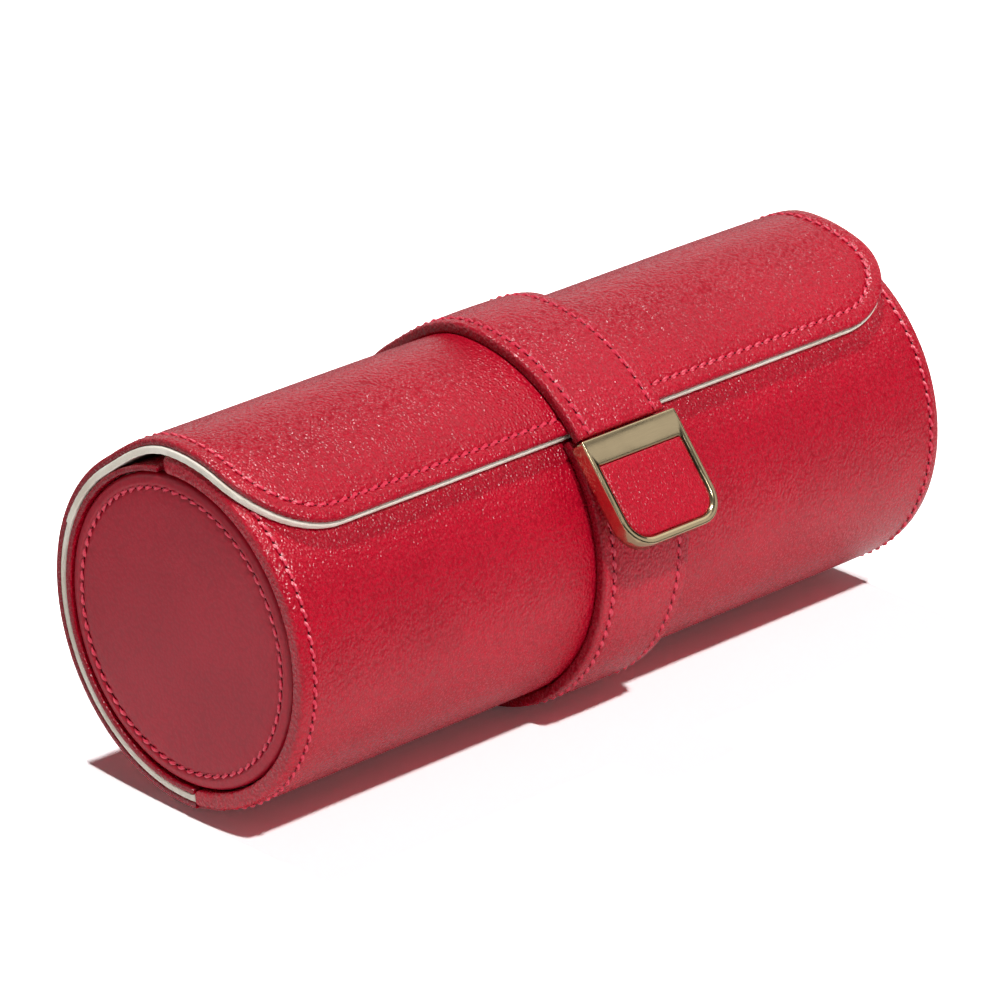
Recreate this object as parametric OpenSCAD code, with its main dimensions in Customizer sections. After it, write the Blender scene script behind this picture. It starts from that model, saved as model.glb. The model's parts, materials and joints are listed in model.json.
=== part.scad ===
// Watch travel case: a leather roll for three watches.
// The back half of the tube is a tray with the end discs, the front half is
// a shell hinged along the bottom seam, and a lined leather wrap runs from
// that seam up the back and over the top to a flap held by a metal clasp.
// X runs along the tube, -Y is the front and Z is up. The origin lies on the
// flat underside of the strap, which the case rests on.
// Angles round the tube are 0 at the front, 90 at the top, 180 at the back.

/* [Tube] */
// Length of the tube between its outer end faces
case_len = 200; // [150:1:260]
// Radius of the round end discs
disc_r = 36.1; // [32:0.1:42]
// Thickness of an end disc
disc_t = 3.2; // [2.4:0.1:5]
// Wall of the thin tray shell
tray_wall = 1.4; // [1:0.1:2.2]
// Wall of the leather covered front shell
shell_wall = 2.9; // [2:0.1:4]
// Thickness of the suede inside the case
suede_t = 1; // [0.6:0.1:1.6]
// Angle of the top parting line between tray and front shell
part_top = 98.8; // [92:0.1:104]
// Angle of the bottom seam between tray and front shell
part_seam = 276.5; // [272:0.1:282]

/* [Wrap] */
// Thickness of the red leather of the wrap
leather_t = 1.7; // [1.4:0.1:2.6]
// Thickness of the pale suede lining of the wrap
lining_t = 1.7; // [0.8:0.1:2]
// Angle of the free edge of the flap
flap_edge = 44.6; // [36:0.1:56]
// Corner radius of the flap
flap_corner_r = 21; // [8:1:28]
// Angle of the upper fold of the wrap
fold_high = 127; // [120:1:134]
// Angle of the lower fold of the wrap
fold_low = 190; // [180:1:205]
// Angle where the wrap has come down from the front shell to the tray
rise_start = 126; // [118:1:126]
// Angle where the wrap lies fully on the front shell
rise_end = 93; // [86:1:96]
// How far each end of the wrap stays back from the end faces
wrap_inset = 0.4; // [0:0.1:2]

/* [Strap] */
// Width of the strap round the middle
strap_w = 26.6; // [20:0.1:34]
// Thickness of the strap on the wrap
strap_t = 2.9; // [2:0.1:3.6]
// Thickness of the strap on the front shell
front_strap_t = 3.1; // [2:0.1:3.2]
// Depth of the flat that the case rests on
flat_depth = 0.5; // [0.3:0.1:0.8]

/* [Clasp] */
// Width of the clasp
clasp_w = 29; // [24:0.1:36]
// Height of the clasp
clasp_h = 27; // [22:0.1:32]
// Depth of the clasp, front face to back plate
clasp_t = 4.4; // [4:0.1:6]
// Angle of the clasp's face round the tube
clasp_tilt = 40; // [36:0.5:44]
// Radius of the clasp's lower corners
clasp_corner_r = 7; // [3:0.1:10]
// Height of the bar above the leather inlay
clasp_bar = 6.4; // [4:0.1:9]
// Width of the frame at the sides and below the inlay
clasp_rim = 1.9; // [1.4:0.1:3]
// Thickness of the leather inlay
inlay_t = 1.2; // [0.8:0.1:1.6]
// Radius of the round magnet in the clasp
magnet_r = 6; // [4:0.1:7]
// Radius of the strike boss that the clasp closes on
boss_r = 7.5; // [5:0.1:9]

/* [Inside] */
// Height of a watch cuff across the tube
cuff_h = 56; // [44:1:60]
// Depth of a watch cuff, back to front
cuff_d = 48; // [36:1:50]
// Gap between a cuff and the divider beside it
cuff_gap = 2.6; // [1:0.1:6]
// Thickness of the end panel of a cuff
cuff_panel_t = 1.6; // [1:0.1:3]
// Thickness of a padded divider
divider_t = 3; // [2:0.1:5]

/* [Hidden] */

leather_red = "#B01226";
disc_red = "#8E2233";
suede_cream = "#D9D2C6";
clasp_gold = "#C9BC93";
steel_grey = "#9A9C9E";

round_fn = 96;
glue = 0.05;      // between layers that are glued together
slip = 0.2;       // between layers that slide on each other
joint_gap = 0.3;  // between panels that fold apart
panel_step = 2.5; // angle of one flat of a folded panel

tray_r_in = disc_r + 0.4;
tray_r = tray_r_in + tray_wall;
shell_lining_r = disc_r + 0.9;
shell_r_in = shell_lining_r + suede_t;
lip_r = tray_r_in; // inner radius of the front shell's turned ends
shell_r = shell_r_in + shell_wall;
wrap_r_back = tray_r + slip;
wrap_r_front = shell_r + slip + 0.1;
wrap_t = lining_t + glue + leather_t;
wrap_len = case_len - 2 * wrap_inset;
strap_r_back = wrap_r_back + wrap_t + glue + strap_t;
front_strap_r = shell_r + glue + front_strap_t;
axis_h = strap_r_back - flat_depth;

clasp_back = front_strap_r + joint_gap + 0.2;
clasp_front = clasp_back + clasp_t;
clasp_plate_t = 0.8;
clasp_skin = inlay_t + 0.8;
strap_end_s = 0.6; // how far above the clasp's top edge the strap ends
strike_s = -clasp_h / 2 - 1;

lining_len = case_len - 2 * (disc_t + suede_t + glue);
lining_r = tray_r_in - glue - suede_t;
cuff_count = 3;
bay_w = (lining_len - 2 * divider_t) / cuff_count;
bay_pitch = bay_w + divider_t;
cuff_len = bay_w - 2 * cuff_gap;
cuff_seat_gap = 0.3;
cuff_press = 0.5; // how far the foam gives where it seats
cuff_y = lining_r - cuff_seat_gap + cuff_press - cuff_d / 2;
divider_end_angle = 1.5; // how far a divider stays below the tray's edges
cut_spare = 3;           // how far a panel runs on past the cut that ends it

// Angle that a length takes up at a radius
function angle_of(length, r) = length / r * 180 / PI;

// A point at an angle round the tube, in the plane across it
function round_point(r, a) = r * [-cos(a), sin(a)];

function steps_between(from, to) = ceil((to - from) / panel_step);

function arc(r, from, to) =
    let (n = steps_between(from, to))
    [for (k = [0:n]) round_point(r, from + (to - from) * k / n)];

function reversed(points) = [for (k = [len(points) - 1:-1:0]) points[k]];

function smooth_step(t) = let (u = min(max(t, 0), 1)) u * u * (3 - 2 * u);

// Radius of the wrap's inner face, which climbs over the end of the front shell
function wrap_r(a) =
    wrap_r_back
    + (wrap_r_front - wrap_r_back) * smooth_step((rise_start - a) / (rise_start - rise_end));

function wrap_arc(depth, from, to) =
    let (n = steps_between(from, to))
    [for (k = [0:n])
        let (a = from + (to - from) * k / n)
        round_point(wrap_r(a) + depth, a)];

// Outline of a rectangle that hangs from y = 0, with its own radius at the bottom corners
function tab_outline(w, h, r_bottom, r_top) =
    concat(
        corner([w / 2 - r_top, -r_top], r_top, 90, 0),
        corner([w / 2 - r_bottom, -h + r_bottom], r_bottom, 0, -90),
        corner([-w / 2 + r_bottom, -h + r_bottom], r_bottom, -90, -180),
        corner([-w / 2 + r_top, -r_top], r_top, 180, 90)
    );

function corner(centre, r, from, to) =
    [for (k = [0:8]) let (a = from + (to - from) * k / 8) centre + r * [cos(a), sin(a)]];

// Puts children on the axis of the tube
module on_axis() {
    translate([0, 0, axis_h]) children();
}

// Stretches a section drawn across the tube along X
module along_tube(length) {
    on_axis() rotate([90, 0, 90]) linear_extrude(length, center = true) children();
}

// Turns a profile of [radius, x] round the tube from one angle to another
module round_tube(from, to) {
    on_axis() rotate([0, 90, 0]) rotate([0, 0, -to - 90])
        rotate_extrude(angle = to - from, $fn = round_fn) children();
}

// Turns a profile of [radius, x] all the way round
module full_round() {
    on_axis() rotate([0, 90, 0]) rotate_extrude($fn = round_fn) children();
}

// Local frame of the clasp: y runs up its face and z points out of it
module at_clasp() {
    on_axis() rotate([90 - clasp_tilt, 0, 0]) children();
}

// A wall with rounded ends, as a profile of [radius, x]
module wall_profile(r_in, r_out, length, edge_r) {
    half = length / 2;
    polygon(concat(
        corner([r_out - edge_r, half - edge_r], edge_r, 0, 90),
        corner([r_in + edge_r, half - edge_r], edge_r, 90, 180),
        corner([r_in + edge_r, -half + edge_r], edge_r, 180, 270),
        corner([r_out - edge_r, -half + edge_r], edge_r, 270, 360)
    ));
}

// A wall whose ends are turned in round the end discs, as a profile of [radius, x]
module lipped_profile(r_lip, r_in, r_out, length, edge_r) {
    half = length / 2;
    step = half - (r_out - r_in) + glue;
    soft = edge_r / 3;
    polygon(concat(
        corner([r_out - edge_r, half - edge_r], edge_r, 0, 90),
        corner([r_lip + edge_r, half - edge_r], edge_r, 90, 180),
        corner([r_lip + soft, step + soft], soft, 180, 270),
        [[r_in, step], [r_in, -step]],
        corner([r_lip + soft, -step - soft], soft, 90, 180),
        corner([r_lip + edge_r, -half + edge_r], edge_r, 180, 270),
        corner([r_out - edge_r, -half + edge_r], edge_r, 270, 360)
    ));
}

// A curved panel between two angles and two depths in the wrap
module wrap_panel(from, to, low, high, length) {
    along_tube(length)
        polygon(concat(wrap_arc(high, from, to), reversed(wrap_arc(low, from, to))));
}

// ---- Tray: the back half of the tube ----

module tray_shell() {
    color(leather_red)
    round_tube(part_top + angle_of(joint_gap, tray_r), part_seam - angle_of(joint_gap, tray_r))
        wall_profile(tray_r_in, tray_r, case_len, tray_wall * 0.45);
}

module tray_lining() {
    color(suede_cream)
    round_tube(part_top + angle_of(joint_gap, tray_r), part_seam - angle_of(joint_gap, tray_r))
        translate([lining_r, -lining_len / 2]) square([suede_t, lining_len]);
}

// Leather covered disc with a domed face and a channel for its stitches
module end_disc(side) {
    edge_r = 1.1;
    stitch_inset = 3.2;
    stitch_r = disc_r - stitch_inset;
    channel = 0.5;
    dome = 0.4;
    face = case_len / 2 - dome;
    inner = case_len / 2 - disc_t;
    profile = concat(
        [[0, inner], [disc_r, inner]],
        corner([disc_r - edge_r, face - edge_r], edge_r, 0, 90),
        [[stitch_r + channel, face], [stitch_r, face - channel], [stitch_r - channel, face],
         [stitch_r * 0.7, face + dome * 0.6], [stitch_r * 0.35, face + dome * 0.9],
         [0, face + dome]]
    );
    color(disc_red) mirror([side < 0 ? 1 : 0, 0, 0]) full_round() polygon(profile);
}

module end_lining(side) {
    x = case_len / 2 - disc_t - glue - suede_t;
    color(suede_cream) mirror([side < 0 ? 1 : 0, 0, 0])
        full_round() translate([0, x]) square([lining_r - slip, suede_t - glue]);
}

// Half round padded wall between two bays
module divider(side) {
    x = side * bay_pitch / 2;
    r = lining_r - slip;
    color(suede_cream) translate([x, 0, 0]) along_tube(divider_t)
        polygon(arc(r, part_top + divider_end_angle, part_seam - divider_end_angle));
}

// Draws a point back onto the seat in the tray if it lies past it
function seated(p) = let (seat_r = lining_r - cuff_seat_gap) p * min(1, seat_r / norm(p));

// Soft oval of a cuff, whose back takes the tray's curve
function cuff_outline(h, d) =
    let (n = 48, square_up = 0.86)
    [for (k = [0:n - 1]) let (a = k * 360 / n)
        seated([cuff_y + d / 2 * sign(cos(a)) * pow(abs(cos(a)), square_up),
                h / 2 * sign(sin(a)) * pow(abs(sin(a)), square_up)])];

// Foam cuff that a watch is buckled round
module cuff(place) {
    color(suede_cream) translate([place * bay_pitch, 0, 0])
        along_tube(cuff_len - 2 * (cuff_panel_t + glue))
        polygon(cuff_outline(cuff_h, cuff_d));
}

// The two stiff end panels of a cuff
module cuff_panels(place) {
    inset = 1.5;
    color(suede_cream) translate([place * bay_pitch, 0, 0])
        for (side = [-1, 1])
            translate([side * (cuff_len - cuff_panel_t) / 2, 0, 0])
                along_tube(cuff_panel_t)
                polygon(cuff_outline(cuff_h - 2 * inset, cuff_d - 2 * inset));
}

// ---- Wrap: lined leather in three panels that fold apart ----

wrap_start = part_seam - angle_of(joint_gap, tray_r);
fold_half = angle_of(joint_gap / 2, strap_r_back);

module wrap_back(low, high, length) {
    wrap_panel(fold_low + fold_half, wrap_start, low, high, length);
}

module wrap_top(low, high, length) {
    wrap_panel(fold_high + fold_half, fold_low - fold_half, low, high, length);
}

module wrap_back_leather() {
    color(leather_red) wrap_back(lining_t + glue, wrap_t, wrap_len);
}

module wrap_back_lining() {
    color(suede_cream) wrap_back(0, lining_t, wrap_len);
}

// The strap on the back and under the case, cut flat where the case rests
module strap_back() {
    color(leather_red) difference() {
        wrap_back(wrap_t + glue, wrap_t + glue + strap_t, strap_w);
        translate([-strap_w, -strap_r_back, -strap_t]) cube([2 * strap_w, 2 * strap_r_back, strap_t]);
    }
}

module wrap_top_leather() {
    color(leather_red) wrap_top(lining_t + glue, wrap_t, wrap_len);
}

module wrap_top_lining() {
    color(suede_cream) wrap_top(0, lining_t, wrap_len);
}

module strap_top() {
    color(leather_red) wrap_top(wrap_t + glue, wrap_t + glue + strap_t, strap_w);
}

// Keeps the part of a flap panel that lies inside its rounded corners
module flap_cut(inset) {
    r = wrap_r_front + wrap_t;
    corner_angle = angle_of(flap_corner_r, r);
    facing = flap_edge + corner_angle / 2;
    drop = r * sin(corner_angle / 2);
    intersection() {
        children();
        on_axis() rotate([90 - facing, 0, 0])
            linear_extrude(2 * r)
            translate([0, 3 * r - drop + inset])
            polygon(tab_outline(wrap_len - 2 * inset, 3 * r, flap_corner_r, 1));
    }
}

module flap_panel(low, high, length) {
    wrap_panel(flap_edge - cut_spare, fold_high - fold_half, low, high, length);
}

module flap_leather() {
    color(leather_red) flap_cut(0) flap_panel(lining_t + glue, wrap_t, wrap_len);
}

module flap_lining() {
    color(suede_cream) flap_cut(0) flap_panel(0, lining_t, wrap_len);
}

// The strap on the flap, which ends at the top edge of the clasp
module strap_flap() {
    outer = wrap_t + glue + strap_t;
    r = wrap_r_front + outer;
    color(leather_red) difference() {
        wrap_panel(clasp_tilt - cut_spare, fold_high - fold_half, wrap_t + glue, outer, strap_w);
        at_clasp() translate([-clasp_w, -r, 0]) cube([2 * clasp_w, r + strap_end_s, 2 * r]);
    }
}

// ---- Clasp: a shallow metal box with a leather inlay ----

clasp_wall = clasp_rim * 0.7;
clasp_window_w = clasp_w - 2 * clasp_rim;
clasp_window_h = clasp_h - clasp_bar - clasp_rim;
clasp_inner_w = clasp_w - 2 * clasp_wall;
clasp_inner_h = clasp_h - 2 * clasp_wall;
tongue_t = clasp_t - clasp_skin - clasp_plate_t - 2 * glue;
tongue_h = 6;
rivet_r = 1;
rivet_x = 8;
fit = 0.05;

module clasp_frame() {
    cavity = clasp_t - clasp_skin;
    color(clasp_gold) at_clasp() difference() {
        translate([0, 0, clasp_back]) linear_extrude(clasp_t)
            polygon(tab_outline(clasp_w, clasp_h, clasp_corner_r, 0.4));
        translate([0, -clasp_bar, clasp_front - inlay_t - fit]) linear_extrude(clasp_t)
            polygon(tab_outline(clasp_window_w, clasp_window_h, clasp_corner_r - clasp_rim, 0.3));
        translate([0, -clasp_wall, clasp_back - clasp_t]) linear_extrude(clasp_t + cavity)
            polygon(tab_outline(clasp_inner_w, clasp_inner_h, clasp_corner_r - clasp_wall, 0.4));
        translate([-strap_w / 2, -2 * clasp_rim, clasp_back + clasp_plate_t])
            cube([strap_w, 3 * clasp_rim, tongue_t + 2 * glue]);
    }
}

module clasp_inlay() {
    color(leather_red) at_clasp()
        translate([0, -clasp_bar - fit, clasp_front - inlay_t])
        linear_extrude(inlay_t - 0.1)
        polygon(tab_outline(clasp_window_w - 2 * fit, clasp_window_h - 2 * fit,
                            clasp_corner_r - clasp_rim - fit, 0.3));
}

module tongue_shape() {
    w = strap_w - 2.4;
    translate([-w / 2, -tongue_h, clasp_back + clasp_plate_t + glue]) cube([w, tongue_h, tongue_t]);
}

module rivet_shape(r, extra) {
    for (side = [-1, 1])
        translate([side * rivet_x, -tongue_h * 0.6, clasp_back + clasp_plate_t + glue - extra])
            cylinder(h = tongue_t + 2 * extra, r = r, $fn = 32);
}

// End of the strap's leather, held inside the clasp
module clasp_tongue() {
    color(leather_red) at_clasp() difference() {
        tongue_shape();
        rivet_shape(rivet_r + fit, 1);
    }
}

module clasp_rivets() {
    color(steel_grey) at_clasp() rivet_shape(rivet_r, 0);
}

module clasp_magnet() {
    color(steel_grey) at_clasp()
        translate([0, strike_s, clasp_back + clasp_plate_t + glue])
        cylinder(h = tongue_t, r = magnet_r, $fn = round_fn);
}

module clasp_back_plate() {
    color(clasp_gold) at_clasp()
        translate([0, -clasp_wall - fit, clasp_back])
        linear_extrude(clasp_plate_t)
        polygon(tab_outline(clasp_inner_w - 2 * fit, clasp_inner_h - 2 * fit,
                            clasp_corner_r - clasp_wall - fit, 0.4));
}

// ---- Front shell: the hinged front half of the tube ----

shell_start = part_seam - 360 + angle_of(joint_gap, shell_r);

// Padded shell, whose ends are turned in so that they close round the end discs
module front_shell() {
    color(leather_red) difference() {
        round_tube(shell_start, part_top)
            lipped_profile(lip_r, shell_r_in, shell_r, case_len, shell_wall * 0.45);
        strike_rivet_hole();
    }
}

module front_lining() {
    length = case_len - 2 * shell_wall;
    color(suede_cream)
    round_tube(shell_start, part_top)
        translate([shell_lining_r, -length / 2]) square([suede_t - glue, length]);
}

// The strap on the front shell, which runs up under the clasp
module strap_front() {
    color(leather_red) difference() {
        round_tube(shell_start, flap_edge - angle_of(1.5, shell_r))
            translate([shell_r + glue, -strap_w / 2]) square([front_strap_t, strap_w]);
        strike_rivet_hole();
    }
}

boss_top = clasp_back - joint_gap;
boss_rim = 1.5;
disc_recess = 1;
strike_rivet_r = 1.6;
strike_hole_r = strike_rivet_r + fit;
rivet_tail = sqrt(pow(shell_r_in + glue, 2) - pow(abs(strike_s) - strike_rivet_r, 2));
hole_floor = sqrt(pow(shell_r_in, 2) - pow(abs(strike_s) + strike_hole_r, 2)) - fit;

// A round bar square to the clasp's face, at the place of the strike
module strike_bar(from, to, r) {
    at_clasp() translate([0, strike_s, from]) cylinder(h = to - from, r = r, $fn = round_fn);
}

module strike_rivet_hole() {
    strike_bar(hole_floor, boss_top, strike_hole_r);
}

// Boss on the strap that carries the steel strike disc
module strike_boss() {
    color(steel_grey) difference() {
        strike_bar(shell_r_in, boss_top, boss_r);
        strike_bar(boss_top - disc_recess, boss_top + disc_recess, boss_r - boss_rim);
        on_axis() rotate([0, 90, 0])
            cylinder(h = 2 * strap_w, r = front_strap_r + glue, center = true, $fn = round_fn);
        strike_rivet_hole();
    }
}

module strike_disc() {
    color(steel_grey)
        strike_bar(boss_top - disc_recess + fit, boss_top, boss_r - boss_rim - fit);
}

// Rivet that holds the boss and the strap to the front shell
module strike_rivet() {
    color(steel_grey) strike_bar(rivet_tail, boss_top - disc_recess, strike_rivet_r);
}

tray_shell();
tray_lining();
end_disc(-1);  // end_disc_left
end_disc(1);  // end_disc_right
end_lining(-1);  // end_lining_left
end_lining(1);  // end_lining_right
divider(-1);  // divider_left
divider(1);  // divider_right
cuff(-1);  // cuff_left
cuff(0);  // cuff_middle
cuff(1);  // cuff_right
cuff_panels(-1);  // cuff_panels_left
cuff_panels(0);  // cuff_panels_middle
cuff_panels(1);  // cuff_panels_right
wrap_back_leather();
wrap_back_lining();
strap_back();
wrap_top_leather();
wrap_top_lining();
strap_top();
flap_leather();
flap_lining();
strap_flap();
clasp_frame();
clasp_inlay();
clasp_tongue();
clasp_rivets();
clasp_magnet();
clasp_back_plate();
front_shell();
front_lining();
strap_front();
strike_boss();
strike_disc();
strike_rivet();
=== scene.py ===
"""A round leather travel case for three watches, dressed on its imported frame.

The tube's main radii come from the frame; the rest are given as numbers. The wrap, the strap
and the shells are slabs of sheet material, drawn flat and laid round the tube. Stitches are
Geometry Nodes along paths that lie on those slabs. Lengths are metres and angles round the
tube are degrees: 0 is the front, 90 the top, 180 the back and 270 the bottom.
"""

import json
import logging
import math
from collections.abc import Callable, Sequence
from dataclasses import dataclass, field
from enum import Enum
from functools import partial

import bpy
import numpy as np
from mathutils import Matrix, Vector

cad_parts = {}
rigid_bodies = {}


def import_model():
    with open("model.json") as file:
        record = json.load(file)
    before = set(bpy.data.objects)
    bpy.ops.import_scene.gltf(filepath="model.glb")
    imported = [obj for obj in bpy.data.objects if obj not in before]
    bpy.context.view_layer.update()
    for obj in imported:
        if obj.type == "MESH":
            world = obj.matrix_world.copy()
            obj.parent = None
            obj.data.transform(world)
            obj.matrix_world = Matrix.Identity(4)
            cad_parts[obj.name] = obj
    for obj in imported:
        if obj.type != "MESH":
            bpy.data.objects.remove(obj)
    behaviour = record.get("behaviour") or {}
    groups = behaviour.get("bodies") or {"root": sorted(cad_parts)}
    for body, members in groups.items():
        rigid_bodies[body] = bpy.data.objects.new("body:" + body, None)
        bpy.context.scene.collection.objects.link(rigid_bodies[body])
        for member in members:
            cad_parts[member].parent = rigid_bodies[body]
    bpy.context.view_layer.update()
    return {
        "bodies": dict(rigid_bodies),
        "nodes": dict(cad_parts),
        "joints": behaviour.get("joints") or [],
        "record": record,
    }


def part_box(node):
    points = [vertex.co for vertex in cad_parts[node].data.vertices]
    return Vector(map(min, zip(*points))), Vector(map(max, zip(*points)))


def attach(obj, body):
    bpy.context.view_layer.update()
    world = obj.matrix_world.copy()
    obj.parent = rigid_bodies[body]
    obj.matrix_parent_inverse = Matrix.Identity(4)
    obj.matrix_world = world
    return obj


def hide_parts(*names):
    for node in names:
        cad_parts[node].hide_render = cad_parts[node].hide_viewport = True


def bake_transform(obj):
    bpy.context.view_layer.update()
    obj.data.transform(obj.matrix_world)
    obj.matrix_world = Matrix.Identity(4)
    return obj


LOG = logging.getLogger("travel_case")
MM = 0.001
SMOOTH_BELOW = math.radians(48)
# Painted shade in the stitch channels: its half width and its darkness.
CHANNEL_HALF = 0.5 * MM
CHANNEL_DARK = 0.45

Array = np.ndarray
Faces = list[tuple[int, ...]]
Piece = bpy.types.Object
Socket = bpy.types.NodeSocket
Sockets = dict[int | str, object]
AddNode = Callable[..., Socket]


class Body(Enum):
    """The bodies of the frame that pieces ride on."""

    TRAY = "tray"
    WRAP_TOP = "wrap_top"
    FLAP = "flap"
    CLASP = "clasp"
    FRONT_SHELL = "front_shell"


class Slot(Enum):
    """The record's material slots."""

    RED_LEATHER = "red_leather"
    STRAP_LEATHER = "strap_leather"
    DISC_LEATHER = "disc_leather"
    INLAY_LEATHER = "inlay_leather"
    LINING_SUEDE = "lining_suede"
    CUFF_SUEDE = "cuff_suede"
    GOLD_METAL = "gold_metal"
    STEEL = "steel"


# ---- Small helpers ----


def linear(colour: str, alpha: float = 1.0) -> tuple[float, float, float, float]:
    """Turns an sRGB hex colour to linear light.

    Args:
        colour: Hex colour such as "#B0081F".
        alpha: Fourth value of the result.

    Returns:
        Red, green, blue and alpha.
    """
    parts = [int(colour[k : k + 2], 16) / 255 for k in (1, 3, 5)]
    red, green, blue = (p / 12.92 if p <= 0.04045 else ((p + 0.055) / 1.055) ** 2.4 for p in parts)
    return red, green, blue, alpha


def add_node(
    tree: bpy.types.NodeTree, kind: str, inputs: Sockets | None = None, out: int | str | None = 0,
    **settings: object
) -> Socket | bpy.types.Node:
    """Adds one node with its settings, values and links.

    Args:
        tree: Tree that gets the node.
        kind: Blender's name of the node type.
        inputs: Value or output socket for each input, by its name or its place.
        out: Output that is wanted, by its name or its place, or None for the node itself.
        **settings: Properties of the node.

    Returns:
        The output, or the node.
    """
    node = tree.nodes.new(kind)
    for name, value in settings.items():
        setattr(node, name, value)
    for key, value in (inputs or {}).items():
        if isinstance(value, Socket):
            tree.links.new(value, node.inputs[key])
        else:
            node.inputs[key].default_value = value
    return node if out is None else node.outputs[out]


def smooth_step(value: Array | float) -> Array | float:
    """Eases a value from 0 to 1, flat at both ends."""
    t = np.clip(value, 0.0, 1.0)
    return t * t * (3 - 2 * t)


def graded(stops: Sequence[float], steps: Sequence[float]) -> Array:
    """Spaces positions along a line, finer where it is asked for.

    Args:
        stops: Where each stretch starts, and where the last one ends.
        steps: Largest step in each stretch.

    Returns:
        The positions from the first stop to the last.
    """
    parts = [np.array([stops[0]])]
    for low, high, step in zip(stops[:-1], stops[1:], steps):
        count = max(1, math.ceil(abs(high - low) / step))
        parts.append(np.linspace(low, high, count + 1)[1:])
    return np.concatenate(parts)


def add_object(name: str, data: bpy.types.ID) -> Piece:
    """Puts data in the scene as an object at the origin."""
    made = bpy.data.objects.new(name, data)
    bpy.context.scene.collection.objects.link(made)
    return made


def read_points(mesh: bpy.types.Mesh) -> Array:
    """Reads a mesh's vertices, one row for each."""
    flat = np.zeros(len(mesh.vertices) * 3)
    mesh.vertices.foreach_get("co", flat)
    return flat.reshape(-1, 3)


def finish_mesh(
    name: str, points: Array, faces: Faces, attributes: dict[str, Array] | None = None
) -> Piece:
    """Makes an object of points and faces, smooth but for its sharp edges.

    Args:
        name: Name of the piece.
        points: One row of x, y, z for each vertex.
        faces: Vertex numbers of each face, anticlockwise from outside.
        attributes: Float attributes, one value for each vertex.

    Returns:
        The object, at the origin.
    """
    mesh = bpy.data.meshes.new(name)
    mesh.from_pydata(points.tolist(), [], faces)
    for key, values in (attributes or {}).items():
        layer = mesh.attributes.new(key, "FLOAT", "POINT")
        layer.data.foreach_set("value", np.asarray(values, np.float32))
    mesh.validate()
    mesh.shade_smooth()
    mesh.set_sharp_from_angle(angle=SMOOTH_BELOW)
    return add_object(name, mesh)


def ring_faces(first: Array, second: Array) -> Faces:
    """Joins two closed loops of vertices with quads.

    Args:
        first: Vertex numbers of one loop, anticlockwise from outside.
        second: The loop below it, in the same order.

    Returns:
        The faces between them.
    """
    after = np.roll(first, -1)
    below = np.roll(second, -1)
    return np.stack([first, second, below, after], 1).tolist()


def stack_faces(loops: Sequence[Array]) -> Faces:
    """Joins each closed loop of vertices with the next one."""
    return [face for near, far in zip(loops[:-1], loops[1:]) for face in ring_faces(near, far)]


def fan_faces(loop: Array, pole: int, flip: bool = False) -> Faces:
    """Closes a loop of vertices with triangles to a pole."""
    pairs = zip(loop.tolist(), np.roll(loop, -1).tolist())
    return [(b, a, pole) if flip else (a, b, pole) for a, b in pairs]


def fit(piece: Piece, finish: "Finish", slot: Slot, body: Body | None, *nodes: str) -> None:
    """Dresses a finished piece, and puts it on its body in place of its CAD nodes.

    Args:
        piece: The piece.
        finish: What it is made of.
        slot: The record's slot for its finish; not used.
        body: Body that it rides on, or None, and then it is put on no body.
        *nodes: CAD nodes that it stands for, if any.
    """
    piece.data.materials.clear()
    piece.data.materials.append(finish.material())
    if body is not None:
        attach(piece, body.value)
    if nodes:
        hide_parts(*nodes)
    report(piece)


def report(piece: Piece) -> None:
    """Logs a finished piece."""
    LOG.info("%s: %d faces", piece.name, len(piece.data.polygons))


def bend_bottom(piece: Piece) -> None:
    """Bakes the transform of a piece at the seam under the case into its mesh; it is not bent."""
    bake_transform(piece)


# ---- Finishes ----


@dataclass(frozen=True)
class Finish:
    """What a surface is made of. Each finish builds its material once."""

    name: str

    def material(self) -> bpy.types.Material:
        """Returns the material of this finish, built on its first use."""
        found = bpy.data.materials.get(self.name)
        if found is None:
            found = bpy.data.materials.new(self.name)
            found.use_nodes = True
            found.node_tree.nodes.clear()
            add = partial(add_node, found.node_tree)
            add("ShaderNodeOutputMaterial", {"Surface": self.build(add)}, out=None)
        return found

    def build(self, add: AddNode) -> Socket:
        """Builds the nodes and returns the shader's output socket."""
        raise NotImplementedError


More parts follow.
